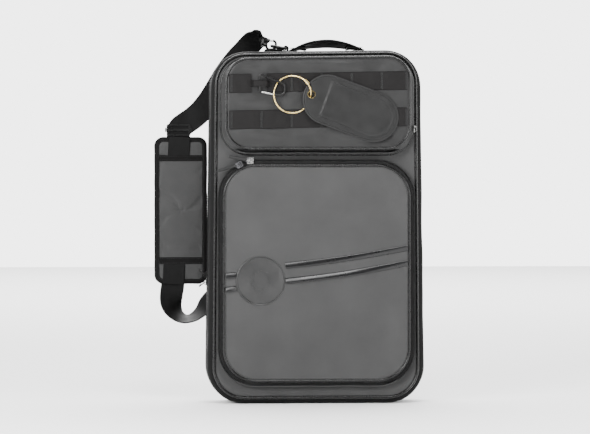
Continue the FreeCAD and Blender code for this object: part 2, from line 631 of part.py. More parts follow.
def zip_fittings():
    """Every slider with its pull."""
    parts = {}
    axle = SLIDER_CLEAR + SLIDER_PLATE + AXLE_UP
    up = unit(V(HALF_BASE - HALF_TOP, 0, TOP_LEFT))
    out = V(-up.z, 0, up.x)
    for name, height, direction in (("upper", 173.3, 1), ("lower", 163.7, -1)):
        seat = V(-side_edge(height), 0, height) - out * (TEETH_THICK / 2.0)
        parts["main_slider_" + name] = placed(slider(), seat, up, out)
        lift = unit(up * direction + out * 1.2)
        across = out.cross(up)
        side = 20.0 if across.y * direction > 0 else -20.0
        tilt = unit(out - up * direction * 1.2)
        parts["main_pull_" + name] = placed(pull(0, 4.5, side * 1.0), seat + out * axle, lift, tilt)

    front = V(0, -1, 0)
    plane = -LOW_TAPE_Y - 0.8
    centre = V(LOW[0][0] + LOW_CORNER, plane, LOW[2][1] - LOW_CORNER)
    radius = LOW_CORNER + LOW_ZIP_OUT
    lean = math.radians(117.0)
    seat = centre + V(math.cos(lean), 0, math.sin(lean)) * radius
    travel = V(math.sin(lean), 0, -math.cos(lean))
    for name, place, heading, aim in (("left", seat, travel, V(-1, 0, -0.27)),
                                      ("right", V(-90.0, plane, LOW[2][1] + LOW_ZIP_OUT), V(1, 0, 0),
                                       V(-1, 0, 0.2))):
        parts["low_slider_" + name] = placed(slider(False), place, heading, front)
        parts["low_pull_" + name] = placed(pull(24.0, 4.2), place + front * axle, aim, front)

    side_x = UP_BASE[1][0] - 1.4
    seat = V(side_x, -UP_ZIP_Y, 372.0)
    parts["up_slider"] = placed(slider(False), seat, V(0, 0, 1), V(1, 0, 0))
    parts["up_pull"] = placed(pull(14.0, 4.0), seat + V(axle, 0, 0), V(0, 0, -1), V(1, 0, 0))
    return parts


def all_parts():
    """Every node's shape by name."""
    parts = {}
    for made in (rear_half(), stick_sleeves(), handle(), front_half(), lower_pocket(), upper_pocket(),
                 key_clip(), key_ring(), fob(), strap_hardware(), strap(), pad(), strap_adjuster(),
                 zip_fittings()):
        parts.update(made)
    parts["ladder_webbing_top"] = ladder(LADDER_TOP_Z, True)
    parts["ladder_webbing_low"] = ladder(LADDER_LOW_Z, False)
    return parts


def main():
    """Write one STEP file for each node."""
    os.makedirs("parts", exist_ok=True)
    for name, shape in sorted(all_parts().items()):
        solids = len(shape.Solids)
        print("%-22s solids %d valid %s volume %.0f" % (name, solids, shape.isValid(), shape.Volume))
        shape.exportStep(os.path.join("parts", name + ".step"))


main()
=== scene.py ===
"""Looks of a zip-round drum stick bag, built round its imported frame.

Lengths inside the builders are millimetres in the frame's own axes (+Z up, front face
towards -Y); a mesh is turned into metres once, when it is made.
"""
from __future__ import annotations

import json
import logging
import math
from dataclasses import dataclass
from enum import Enum

import bmesh
import bpy
import numpy as np
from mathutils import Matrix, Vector

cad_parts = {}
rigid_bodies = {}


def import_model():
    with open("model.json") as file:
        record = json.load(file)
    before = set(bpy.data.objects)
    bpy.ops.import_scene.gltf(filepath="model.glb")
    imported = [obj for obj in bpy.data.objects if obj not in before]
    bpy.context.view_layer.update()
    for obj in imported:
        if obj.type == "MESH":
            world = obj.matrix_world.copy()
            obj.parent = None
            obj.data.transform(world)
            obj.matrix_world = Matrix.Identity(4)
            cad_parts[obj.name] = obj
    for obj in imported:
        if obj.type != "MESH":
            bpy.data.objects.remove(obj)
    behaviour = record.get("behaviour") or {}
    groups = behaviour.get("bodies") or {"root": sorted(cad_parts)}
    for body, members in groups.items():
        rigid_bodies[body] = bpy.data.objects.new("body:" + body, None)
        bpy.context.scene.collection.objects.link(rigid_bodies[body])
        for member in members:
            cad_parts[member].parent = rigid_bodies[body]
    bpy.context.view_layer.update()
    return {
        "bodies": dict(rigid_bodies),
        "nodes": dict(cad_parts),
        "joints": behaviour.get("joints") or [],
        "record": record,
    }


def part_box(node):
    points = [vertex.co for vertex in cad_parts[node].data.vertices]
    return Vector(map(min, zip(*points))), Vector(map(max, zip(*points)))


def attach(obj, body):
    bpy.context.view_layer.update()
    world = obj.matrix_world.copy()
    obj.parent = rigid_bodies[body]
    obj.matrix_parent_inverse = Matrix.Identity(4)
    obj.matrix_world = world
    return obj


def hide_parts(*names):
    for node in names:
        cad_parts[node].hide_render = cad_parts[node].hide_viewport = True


LOG = logging.getLogger("stick_bag")
MM = 0.001
TURN = 2.0 * math.pi
FRONT = (0.0, -1.0, 0.0)
ACROSS = (0.0, 1.0, 0.0)
MAIN_TOOTH = (1.15, 2.4, 2.5)
MAIN_PITCH = 1.7
SMALL_PITCH = 1.45
FINE_STITCH = (2.2, 0.5)
FINE_PITCH = 3.2
GUSSET_PITCH = 3.3
CROSS_PITCH = 3.0
BAND_PITCH = 3.1


class Coordinates(Enum):
    """Which coordinates a finish's pattern is laid on."""

    OBJECT = "Object"
    CLOTH = "UV"


# ---- shading ---------------------------------------------------------------------

def linear(code: str) -> tuple[float, float, float, float]:
    """Turns a colour as seen on a screen into linear light.

    Args:
        code: Six hexadecimal digits after a hash sign.

    Returns:
        Red, green, blue and an alpha of one.
    """
    channels = [int(code[start:start + 2], 16) / 255.0 for start in (1, 3, 5)]
    lit = [c / 12.92 if c <= 0.04045 else ((c + 0.055) / 1.055) ** 2.4 for c in channels]
    return (lit[0], lit[1], lit[2], 1.0)


def add_node(tree: bpy.types.NodeTree, kind: str, inputs: dict | None = None,
             **settings: object) -> bpy.types.Node:
    """Adds one node to a tree and fills its sockets.

    Args:
        tree: The tree that gets the node.
        kind: The node's type name.
        inputs: Socket name or number to a value, or to the output socket that feeds it.
        settings: Properties of the node itself.

    Returns:
        The new node.
    """
    made = tree.nodes.new(kind)
    for key, value in settings.items():
        setattr(made, key, value)
    for socket, value in (inputs or {}).items():
        if isinstance(value, bpy.types.NodeSocket):
            tree.links.new(value, made.inputs[socket])
        else:
            made.inputs[socket].default_value = value
    return made


def noise_scale(size: float) -> float:
    """The scale of a noise texture whose features have a given size.

    Args:
        size: Feature size in millimetres.

    Returns:
        The texture's scale for coordinates in metres.
    """
    return 1.0 / (size * MM)


def wave_scale(period: float) -> float:
    """The scale of a band texture with a given period.

    Args:
        period: Distance between two bands in millimetres.

    Returns:
        The texture's scale for coordinates in metres.
    """
    return TURN / (20.0 * period * MM)


@dataclass(frozen=True)
class Finish:
    """A surface finish: its colours, its gloss and the fine relief of its surface."""

    name: str
    dark: str
    light: str
    roughness: float = 0.6
    gloss_spread: float = 0.1
    metallic: float = 0.0
    sheen: float = 0.0
    coat: float = 0.0
    specular: float = 0.5
    blotch: float = 30.0
    grain: float = 1.0
    relief: float = 0.05
    laid_on: Coordinates = Coordinates.OBJECT

    def material(self) -> bpy.types.Material:
        """Makes the finish's material, once.

        Returns:
            The material that pieces with this finish share.
        """
        label = self.name + "_finish"
        found = bpy.data.materials.get(label)
        if found is not None:
            return found
        made = bpy.data.materials.new(label)
        made.use_nodes = True
        tree = made.node_tree
        tree.nodes.clear()
        place = add_node(tree, "ShaderNodeTexCoord").outputs[self.laid_on.value]
        patchy = add_node(tree, "ShaderNodeTexNoise",
                          {"Vector": place, "Scale": noise_scale(self.blotch), "Detail": 5.0,
                           "Roughness": 0.6})
        ramp = add_node(tree, "ShaderNodeValToRGB", {"Fac": patchy.outputs["Fac"]})
        ramp.color_ramp.elements[0].position = 0.3
        ramp.color_ramp.elements[0].color = linear(self.dark)
        ramp.color_ramp.elements[1].position = 0.72
        ramp.color_ramp.elements[1].color = linear(self.light)
        gloss = add_node(tree, "ShaderNodeMapRange",
                         {"Value": patchy.outputs["Fac"], "From Min": 0.3, "From Max": 0.7,
                          "To Min": self.roughness - self.gloss_spread,
                          "To Max": self.roughness + self.gloss_spread})
        height = self.height(tree, place)
        bump = add_node(tree, "ShaderNodeBump",
                        {"Height": height, "Strength": 1.0, "Distance": self.relief * MM})
        shader = add_node(tree, "ShaderNodeBsdfPrincipled",
                          {"Base Color": ramp.outputs["Color"], "Roughness": gloss.outputs["Result"],
                           "Normal": bump.outputs["Normal"], "Metallic": self.metallic,
                           "Specular IOR Level": self.specular, "Sheen Weight": self.sheen,
                           "Sheen Roughness": 0.4, "Coat Weight": self.coat,
                           "Coat Roughness": 0.2})
        add_node(tree, "ShaderNodeOutputMaterial", {"Surface": shader.outputs["BSDF"]})
        return made

    def height(self, tree: bpy.types.NodeTree, place: bpy.types.NodeSocket) -> bpy.types.NodeSocket:
        """Adds the nodes of the finish's fine relief.

        Args:
            tree: The material's tree.
            place: The coordinates that the relief is laid on.

        Returns:
            The output that carries the relief's height.
        """
        fine = add_node(tree, "ShaderNodeTexNoise",
                        {"Vector": place, "Scale": noise_scale(self.grain), "Detail": 3.0})
        return fine.outputs["Fac"]


@dataclass(frozen=True)
class Weave(Finish):
    """Woven cloth or webbing: crossing threads over the plain relief."""

    warp: float = 0.7
    weft: float = 0.7
    axes: tuple[str, str] = ("X", "Z")

    def height(self, tree: bpy.types.NodeTree, place: bpy.types.NodeSocket) -> bpy.types.NodeSocket:
        """Adds the nodes of the crossing threads.

        Args:
            tree: The material's tree.
            place: The coordinates that the weave is laid on.

        Returns:
            The output that carries the weave's height.
        """
        bands = []
        for axis, period in zip(self.axes, (self.warp, self.weft)):
            wave = add_node(tree, "ShaderNodeTexWave",
                            {"Vector": place, "Scale": wave_scale(period), "Distortion": 0.3,
                             "Detail": 1.0, "Detail Scale": 0.3},
                            bands_direction=axis, wave_profile="SIN")
            bands.append(wave.outputs["Fac"])
        crossed = add_node(tree, "ShaderNodeMath", {0: bands[0], 1: bands[1]}, operation="MULTIPLY")
        uneven = super().height(tree, place)
        return add_node(tree, "ShaderNodeMath", {0: crossed.outputs["Value"], 1: uneven},
                        operation="ADD").outputs["Value"]


@dataclass(frozen=True)
class Pebbled(Finish):
    """Grained leather or vinyl: small rounded cells."""

    cell: float = 0.8

    def height(self, tree: bpy.types.NodeTree, place: bpy.types.NodeSocket) -> bpy.types.NodeSocket:
        """Adds the nodes of the grain's cells.

        Args:
            tree: The material's tree.
            place: The coordinates that the grain is laid on.

        Returns:
            The output that carries the grain's height.
        """
        cells = add_node(tree, "ShaderNodeTexVoronoi",
                         {"Vector": place, "Scale": noise_scale(self.cell)},
                         feature="SMOOTH_F1")
        uneven = super().height(tree, place)
        return add_node(tree, "ShaderNodeMath",
                        {0: cells.outputs["Distance"], 1: uneven},
                        operation="ADD").outputs["Value"]


# Coated polyester, calendered: a fine even weave with a soft dull glow.
COATED_LOW = Weave("coated_cloth_grey", "#2b2b2b", "#343434", roughness=0.58, gloss_spread=0.06,
                   specular=0.25, blotch=60.0, grain=1.2, relief=0.025, warp=0.6, weft=0.6)
# The same cloth in its darker, slightly glossier make.
COATED_UP = Weave("coated_cloth_dark", "#1a1a1a", "#232323", roughness=0.46, gloss_spread=0.06,
                  specular=0.25, blotch=50.0, grain=1.2, relief=0.025, warp=0.6, weft=0.6)
# Coated polyester left matt: an even mid grey that hardly shines.
BORDER = Weave("gusset_cloth", "#303030", "#383838", roughness=0.58, specular=0.15,
               blotch=40.0, grain=0.9, relief=0.03, warp=0.9, weft=0.9)
# Plain woven polyester: near black, with a dry weave.
GUSSET = Weave("gusset_weave", "#090909", "#0f0f0f", roughness=0.65, specular=0.1,
               blotch=30.0, grain=0.9, relief=0.035, warp=1.0, weft=1.0, axes=("X", "Y"),
               laid_on=Coordinates.CLOTH)
# Ribbed nylon webbing: ribs 1.5 mm apart, dark and dry.
LADDER = Weave("ladder_webbing", "#0f0e0e", "#171616", roughness=0.7, specular=0.12,
               blotch=12.0, grain=0.6, relief=0.045, warp=1.5, weft=1.1, axes=("X", "Y"),
               laid_on=Coordinates.CLOTH)
# Heavy woven polyester webbing: deep black with broad ribs.
STRAP = Weave("strap_webbing", "#040404", "#090909", roughness=0.55, specular=0.1,
              blotch=14.0, grain=0.7, relief=0.05, warp=1.6, weft=1.3, axes=("X", "Y"),
              laid_on=Coordinates.CLOTH)
# Padded polyester: a loose dull weave, paler than the strap.
PAD_CLOTH = Weave("pad_cloth", "#282828", "#313131", roughness=0.6, specular=0.18,
                  blotch=35.0, grain=1.0, relief=0.03, warp=0.8, weft=0.8)
# Grosgrain tape: close cross ribs, black and dull.
BINDING = Weave("binding_tape", "#050505", "#0a0909", roughness=0.65, specular=0.08,
                blotch=10.0, grain=0.6, relief=0.045, warp=0.8, weft=2.0, axes=("X", "Y"),
                laid_on=Coordinates.CLOTH)
# Extruded vinyl: smooth black with a thin bright highlight along its round.
PIPING = Pebbled("vinyl_piping", "#050505", "#090909", roughness=0.27, gloss_spread=0.05,
                 specular=0.32, blotch=15.0, grain=0.8, relief=0.008, cell=1.0)
# Woven zip tape: flat, black and without shine.
ZIP_TAPE = Weave("zip_tape", "#080808", "#0e0e0e", roughness=0.75, specular=0.2, blotch=10.0,
                 grain=0.6, relief=0.08, warp=0.7, weft=1.2, axes=("X", "Y"),
                 laid_on=Coordinates.CLOTH)
# Moulded acetal teeth: small black glints.
ZIP_TEETH = Finish("zip_teeth", "#0d0d0d", "#151515", roughness=0.42, specular=0.35, blotch=6.0,
                   grain=0.5, relief=0.02)
# Bonded nylon thread: a faint sheen on each stitch.
THREAD = Finish("sewing_thread", "#0b0b0b", "#141414", roughness=0.6, sheen=0.1, specular=0.25,
                blotch=3.0, grain=0.2, relief=0.04)
# Zinc casting with black lacquer: dark, with sharp small highlights.
BLACK_METAL = Finish("black_metal", "#030303", "#070707", roughness=0.3, gloss_spread=0.06,
                     specular=0.3, blotch=8.0, grain=0.4, relief=0.01)
# Polished nickel plate: bright and cool.
GATE_METAL = Finish("bright_metal", "#a9a9a7", "#c4c4c2", roughness=0.28, metallic=1.0,
                    blotch=5.0, grain=0.3, relief=0.008)
# Polished brass: pale yellow, with a highlight on every strand.
BRASS = Finish("brass_wire", "#c4a660", "#e6d39a", roughness=0.26, gloss_spread=0.06,
               metallic=1.0, blotch=6.0, grain=0.3, relief=0.01)
# Grained cow leather, black: fine pebbles and a soft broad highlight.
LEATHER = Pebbled("fob_leather", "#0d0d0d", "#141414", roughness=0.5, gloss_spread=0.09,
                  specular=0.28, blotch=18.0, grain=0.7, relief=0.05, cell=0.9)
# Cut polyethylene foam: matt, with small open cells.
FOAM = Finish("foam_board", "#2b2b2d", "#363638", roughness=0.9, specular=0.1, blotch=5.0,
              grain=0.5, relief=0.12)
# Brushed polyester lining: very dark and soft.
LINING = Weave("lining_cloth", "#141416", "#1c1c1f", roughness=0.78, sheen=0.05, specular=0.2,
               blotch=30.0, grain=0.8, relief=0.07, warp=0.6, weft=0.6)
# Thick gloss print: smooth, black and glassy.
RAISED = Finish("raised_print", "#070708", "#0c0c0d", roughness=0.28, gloss_spread=0.03,
                specular=0.4, blotch=25.0, grain=6.0, relief=0.02)
# Dark nickel plate: a grey metal between the black and the bright one.
GUNMETAL = Finish("gunmetal", "#5e5e60", "#77777a", roughness=0.25, metallic=1.0, blotch=5.0,
                  grain=0.3, relief=0.008)
# Moulded soft rubber: dark, with a waxy highlight.
RUBBER = Finish("pull_rubber", "#0e0e0e", "#161616", roughness=0.42, specular=0.35, blotch=6.0,
                grain=0.5, relief=0.02)
# Moulded rubber with a leather grain: dark grey and slightly glossy.
BADGE = Pebbled("moulded_badge", "#202020", "#282828", roughness=0.36, gloss_spread=0.08,
                specular=0.4, blotch=20.0, grain=0.8, relief=0.05, cell=0.9)


# ---- shapes ----------------------------------------------------------------------

@dataclass
class Patch:
    """A piece of surface: its points, its faces and the cloth coordinates of their corners."""

    points: np.ndarray
    faces: np.ndarray
    cloth: np.ndarray


def spans(line: np.ndarray, closed: bool) -> np.ndarray:
    """Measures the way along a line of points.

    Args:
        line: The points, one row each.
        closed: Whether the line goes back to its first point.

    Returns:
        The distance from the start to each point, and to the end of a closed line.
    """
    following = np.roll(line, -1, axis=0) if closed else line[1:]
    steps = np.linalg.norm(following - (line if closed else line[:-1]), axis=1)
    return np.concatenate(([0.0], np.cumsum(steps)))


def lattice(rows: np.ndarray, wrap_columns: bool = False, wrap_rows: bool = False) -> Patch:
    """Joins a grid of points with faces.

    Args:
        rows: Points as rows, columns and three coordinates.
        wrap_columns: Whether each row closes on itself.
        wrap_rows: Whether the last row joins the first.

    Returns:
        The surface, with cloth coordinates that measure along and across it.
    """
    count, wide = rows.shape[:2]
    along = spans(rows[count // 2], wrap_columns)
    across = spans(rows[:, wide // 2], wrap_rows)
    row, column = np.meshgrid(np.arange(count - 1 + wrap_rows),
                              np.arange(wide - 1 + wrap_columns), indexing="ij")
    row, column = row.ravel(), column.ravel()
    next_row, next_column = (row + 1) % count, (column + 1) % wide
    faces = np.stack([row * wide + column, row * wide + next_column,
                      next_row * wide + next_column, next_row * wide + column], -1)
    cloth = np.stack([along[column], across[row], along[column + 1], across[row],
                      along[column + 1], across[row + 1], along[column], across[row + 1]], -1)
    return Patch(rows.reshape(-1, 3), faces, cloth.reshape(-1, 4, 2))


def directions(line: np.ndarray, closed: bool) -> np.ndarray:
    """Finds the direction of a line at each of its points.

    Args:
        line: The points, one row each.
        closed: Whether the line goes back to its first point.

    Returns:
        One unit vector for each point.
    """
    if closed:
        way = np.roll(line, -1, axis=0) - np.roll(line, 1, axis=0)
    else:
        way = np.gradient(line, axis=0)
    return way / np.maximum(np.linalg.norm(way, axis=1, keepdims=True), 1e-9)


def smooth_line(stations: np.ndarray, step: float, closed: bool = False) -> np.ndarray:
    """Draws an even, smooth line through stations.

    Args:
        stations: The points to pass through, with any further columns to carry along.
        step: Distance between the new points, in millimetres.
        closed: Whether the line goes back to its first point.

    Returns:
        The new points, with the same columns.
    """
    points = np.asarray(stations, float)
    count = len(points)
    pieces = []
    for index in range(count if closed else count - 1):
        if closed:
            a, b, c, d = (points[(index + k) % count] for k in (-1, 0, 1, 2))
        else:
            a, b, c, d = (points[min(max(index + k, 0), count - 1)] for k in (-1, 0, 1, 2))
        fine = max(2, int(np.linalg.norm(c[:3] - b[:3]) / step) + 1)
        t = np.linspace(0.0, 1.0, fine, endpoint=False)[:, None]
        pieces.append(0.5 * (2 * b + (c - a) * t + (2 * a - 5 * b + 4 * c - d) * t ** 2
                             + (3 * b - a - 3 * c + d) * t ** 3))
    line = np.concatenate(pieces)
    return line if closed else np.concatenate([line, points[-1:]])


class Outline:
    """A rounded polygon seen from the front, sampled the same way at every inset."""

    def __init__(self, corners: list[tuple[float, float]], radius: float,
                 counts: tuple[int, ...] | None = None, turns: int = 14) -> None:
        """Samples the polygon.

        Args:
            corners: Corner points (x, z), anticlockwise seen from the front.
            radius: Radius of the rounded corners.
            counts: Points along each side; by default one about every 4 mm.
            turns: Points round each corner.
        """
        points = [np.array(corner, float) for corner in corners]
        count = len(points)
        starts, ends, arcs = [], [], []
        for index, corner in enumerate(points):
            back = points[index - 1] - corner
            ahead = points[(index + 1) % count] - corner
            back, ahead = back / np.linalg.norm(back), ahead / np.linalg.norm(ahead)
            half = math.acos(float(back @ ahead)) / 2.0
            middle = (back + ahead) / np.linalg.norm(back + ahead)
            start = corner + back * radius / math.tan(half)
            end = corner + ahead * radius / math.tan(half)
            centre = corner + middle * radius / math.sin(half)
            sweep = math.pi - 2.0 * half
            shares = np.linspace(0.0, 1.0, turns, endpoint=False)[:, None]
            arc = (np.sin((1 - shares) * sweep) * (start - centre)
                   + np.sin(shares * sweep) * (end - centre)) / math.sin(sweep)
            arcs.append(centre + arc)
            starts.append(start)
            ends.append(end)
        if counts is None:
            counts = tuple(max(2, round(float(np.linalg.norm(starts[(k + 1) % count] - ends[k])) / 4.0))
                           for k in range(count))
        pieces = []
        for index in range(count):
            pieces.append(arcs[index])
            shares = np.linspace(0.0, 1.0, counts[index], endpoint=False)[:, None]
            pieces.append(ends[index] + (starts[(index + 1) % count] - ends[index]) * shares)
        self.counts = counts
        self.points = np.concatenate(pieces)
        way = directions(self.points, True)
        self.normals = np.stack([way[:, 1], -way[:, 0]], -1)

    def loop(self, inset: float = 0.0, y: float = 0.0) -> np.ndarray:
        """The outline moved inwards, as points in space.

        Args:
            inset: Distance moved inwards.
            y: Depth of the loop.

        Returns:
            One point (x, y, z) for each sample.
        """
        flat = self.points - self.normals * inset
        return np.stack([flat[:, 0], np.full(len(flat), y), flat[:, 1]], -1)


@dataclass(frozen=True)
class Ripple:
    """Gentle unevenness made of a few waves with random headings."""

    size: float
    amount: float
    seed: int = 1

    def at(self, points: np.ndarray) -> np.ndarray:
        """The height of the unevenness.

        Args:
            points: Points, one row each.

        Returns:
            One height for each point.
        """
        chance = np.random.default_rng(self.seed)
        total = np.zeros(len(points))
        for _ in range(10):
            heading = chance.normal(size=points.shape[1])
            heading /= np.linalg.norm(heading)
            period = self.size * chance.uniform(0.6, 1.7)
            total += np.sin(points @ heading * TURN / period + chance.uniform(0.0, TURN))
        return total * self.amount / 4.0


@dataclass(frozen=True)
class Crease:
    """A soft fold of cloth between two points of a panel."""

    start: tuple[float, float]
    end: tuple[float, float]
    width: float
    height: float

    def at(self, flat: np.ndarray) -> np.ndarray:
        """The height of the fold.

        Args:
            flat: Points (x, z), one row each.

        Returns:
            One height for each point.
        """
        start, way = np.array(self.start), np.array(self.end) - np.array(self.start)
        length = float(np.linalg.norm(way))
        way = way / length
        there = (flat - start) @ way / length
        aside = (flat - start) @ np.array((-way[1], way[0]))
        fade = np.exp(-(np.maximum(np.abs(there - 0.5) * 2.0 - 0.4, 0.0) / 0.45) ** 2)
        return self.height * np.exp(-(aside / self.width) ** 2) * fade


@dataclass(frozen=True)
class Relief:
    """The front of a cloth panel: its depth, its slight bulge, and its folds."""

    y: float
    bulge: float
    middle: tuple[float, float]
    reach: tuple[float, float]
    ripples: tuple[Ripple, ...] = ()
    creases: tuple[Crease, ...] = ()
    calm: tuple[float, float, float] = (0.0, 0.0, 0.0)

    def depth(self, flat: np.ndarray) -> np.ndarray:
        """The depth of the panel's face.

        Args:
            flat: Points (x, z), one row each.

        Returns:
            One y for each point.
        """
        share = (flat - np.array(self.middle)) / np.array(self.reach)
        inside = np.clip(1.0 - np.abs(share), 0.0, 1.0).min(axis=1)
        fade = np.clip(inside / 0.16, 0.0, 1.0)
        fade = fade * fade * (3.0 - 2.0 * fade)
        if self.calm[2] > 0.0:
            away = np.linalg.norm(flat - np.array(self.calm[:2]), axis=1) / self.calm[2]
            fade = fade * np.clip((away - 0.9) / 0.5, 0.15, 1.0)
        folds = sum((r.at(flat) for r in self.ripples), np.zeros(len(flat)))
        folds = folds + sum((c.at(flat) for c in self.creases), np.zeros(len(flat)))
        dome = self.bulge * (1.0 - share[:, 0] ** 2) * (1.0 - share[:, 1] ** 2)
        return self.y - dome - folds * fade


def open_run(loop: np.ndarray, kept: np.ndarray) -> np.ndarray:
    """Takes one stretch out of a closed loop.

    Args:
        loop: The loop's points, one row each.
        kept: Which of them belong to the stretch.

    Returns:
        The stretch's points, in order.
    """
    first = int(np.argmax(kept & ~np.roll(kept, 1)))
    return np.roll(loop, -first, axis=0)[:int(kept.sum())]


def girdle(outline: Outline, profile: list[tuple[float, float]], above: float | None = None,
           ripple: Ripple | None = None) -> Patch:
    """Sweeps a closed cross-section round an outline.

    Args:
        outline: The outline to follow.
        profile: Corner points (inset, y) of the cross-section.
        above: Height below which the strip is left out.
        ripple: Unevenness that moves the strip's outer skin.

    Returns:
        The closed strip.
    """
    rows = np.stack([outline.loop(inset, y) for inset, y in profile])
    if ripple is not None:
        shift = ripple.at(outline.loop())[None, :, None]
        aside = np.stack([outline.normals[:, 0], np.zeros(len(outline.normals)),
                          outline.normals[:, 1]], -1)
        rows = rows + shift * aside[None]
    if above is None:
        return lattice(rows, wrap_columns=True, wrap_rows=True)
    kept = rows[:, :, 2].min(axis=0) >= above
    first = int(np.argmax(kept & ~np.roll(kept, 1)))
    rows = np.roll(rows, -first, axis=1)[:, :int(kept.sum())]
    ends = [np.repeat(rows[:, end].mean(axis=0)[None, None], len(rows), axis=0) for end in (0, -1)]
    return lattice(np.concatenate([ends[0], rows, ends[1]], axis=1), wrap_rows=True)


def block(inner: float, outer: float, low: float, high: float,
          ease: float = 0.35) -> list[tuple[float, float]]:
    """An eased rectangular cross-section.

    Args:
        inner: Smallest inset.
        outer: Largest inset.
        low: Smallest y.
        high: Largest y.
        ease: Size of the eased corners.

    Returns:
        The corner points (inset, y).
    """
    return [(inner + ease, low), (outer - ease, low), (outer, low + ease), (outer, high - ease),
            (outer - ease, high), (inner + ease, high), (inner, high - ease), (inner, low + ease)]


def tube(line: np.ndarray, radius: float, beside: tuple[float, float, float] = ACROSS,
         closed: bool = False, sides: int = 14, strands: int = 0, pitch: float = 6.0) -> Patch:
    """Makes a round cord along a line.

    Args:
        line: The centreline's points.
        radius: Radius of the cord.
        beside: A direction that the line is nowhere parallel to.
        closed: Whether the line closes on itself.
        sides: Points round the cord.
        strands: Strands that the cord is twisted from.
        pitch: Length of one strand's full turn.

    Returns:
        The closed surface.
    """
    way = directions(line, closed)
    out = np.cross(way, np.array(beside))
    out /= np.linalg.norm(out, axis=1, keepdims=True)
    up = np.cross(way, out)
    angles = np.arange(sides) * TURN / sides
    radii = np.full((len(line), sides), radius)
    if strands:
        travelled = spans(line, False)[:, None]
        radii = radius * (0.9 + 0.1 * np.cos(strands * (angles[None] - travelled * TURN / pitch)))
    rings = (line[:, None] + radii[..., None] * (np.cos(angles)[None, :, None] * out[:, None]
                                                 + np.sin(angles)[None, :, None] * up[:, None]))
    if not closed:
        capped = [np.repeat(line[end][None, None], sides, axis=1) for end in (0, -1)]
        rings = np.concatenate([capped[0], rings, capped[1]])
    return lattice(rings, wrap_columns=True, wrap_rows=closed)


def ribbon(stations: list[tuple[float, ...]], width: float, thick: float, step: float = 2.5,
           closed: bool = False, ripple: Ripple | None = None, crown: float = 0.0) -> Patch:
    """Makes a flat strap along a line.

    Args:
        stations: Points (x, y, z) with the direction (x, y, z) across the strap.
        width: The strap's width.
        thick: The strap's thickness.
        step: Distance between the sections along the line.
        closed: Whether the strap closes on itself.
        ripple: Unevenness across the strap's face.
        crown: How far the strap's section is domed, from nought to one.

    Returns:
        The closed surface.
    """
    line = smooth_line(np.array(stations, float), step, closed)
    centre, aside = line[:, :3], line[:, 3:6]
    way = directions(centre, closed)
    aside = aside - way * (aside * way).sum(axis=1, keepdims=True)
    aside /= np.linalg.norm(aside, axis=1, keepdims=True)
    out = np.cross(way, aside)
    if ripple is not None:
        centre = centre + out * ripple.at(centre)[:, None]
    half, deep = width / 2.0, thick / 2.0
    shares = np.linspace(-1.0, 1.0, 9)
    top = [(share * (half - deep * (1.0 - crown)),
            deep * (1.0 + 0.12 * abs(share) ** 6) * (1.0 - crown * share * share)) for share in shares]
    section = top + [(half, 0.0)] + [(x, -y) for x, y in reversed(top)] + [(-half, 0.0)]
    rings = np.stack([centre + aside * x + out * y for x, y in section], axis=1)
    if not closed:
        capped = [np.repeat(centre[end][None, None], len(section), axis=1) for end in (0, -1)]
        rings = np.concatenate([capped[0], rings, capped[1]])
    return lattice(np.swapaxes(rings, 0, 1), wrap_columns=closed, wrap_rows=True)


def pillow(outline: Outline, inset: float, back: float, relief: Relief, rings: int = 44,
           hole: tuple[float, float, float] | None = None, ease: float = 0.5) -> Patch:
    """Makes a panel with a flat back and a modelled front.

    Args:
        outline: The outline to fill.
        inset: Distance from the outline to the panel's edge.
        back: Depth of the panel's back.
        relief: The panel's front.
        rings: Rings of faces from the edge to the middle.
        hole: Middle (x, z) and radius of a round hole.
        ease: Size of the eased edge.

    Returns:
        The closed surface.
    """
    edge = outline.loop(inset)[:, [0, 2]]
    centre = edge.mean(axis=0) if hole is None else np.array(hole[:2])
    radius = 0.0 if hole is None else hole[2]
    spokes = edge - centre
    far = np.linalg.norm(spokes, axis=1, keepdims=True)
    tip = centre + spokes / far * radius
    rows = []
    for share in (0.0, 0.5, 1.0):
        flat = tip + (edge - tip) * share
        rows.append(np.stack([flat[:, 0], np.full(len(flat), back), flat[:, 1]], -1))
    shares = 1.0 - np.linspace(0.0, 1.0, rings)
    for index, share in enumerate(np.concatenate(([1.0], shares * (1.0 - ease / float(far.min()))))):
        flat = tip + (edge - tip) * share
        depth = relief.depth(flat) + (ease if index == 0 else 0.0)
        rows.append(np.stack([flat[:, 0], depth, flat[:, 1]], -1))
    patch = lattice(np.stack(rows), wrap_columns=True, wrap_rows=hole is not None)
    patch.cloth = patch.points[patch.faces][:, :, [0, 2]]
    return patch


def lathe(centre: tuple[float, float], profile: list[tuple[float, float]], sides: int = 72) -> Patch:
    """Turns a profile about a line that faces the front.

    Args:
        centre: The line's place (x, z).
        profile: Points (radius, y) from the back's middle to the front's.
        sides: Points round the shape.

    Returns:
        The surface, closed when the profile starts and ends at radius nought.
    """
    angles = np.arange(sides) * TURN / sides
    rows = [np.stack([centre[0] + radius * np.cos(angles), np.full(sides, y),
                      centre[1] + radius * np.sin(angles)], -1) for radius, y in profile]
    return lattice(np.stack(rows), wrap_columns=True)


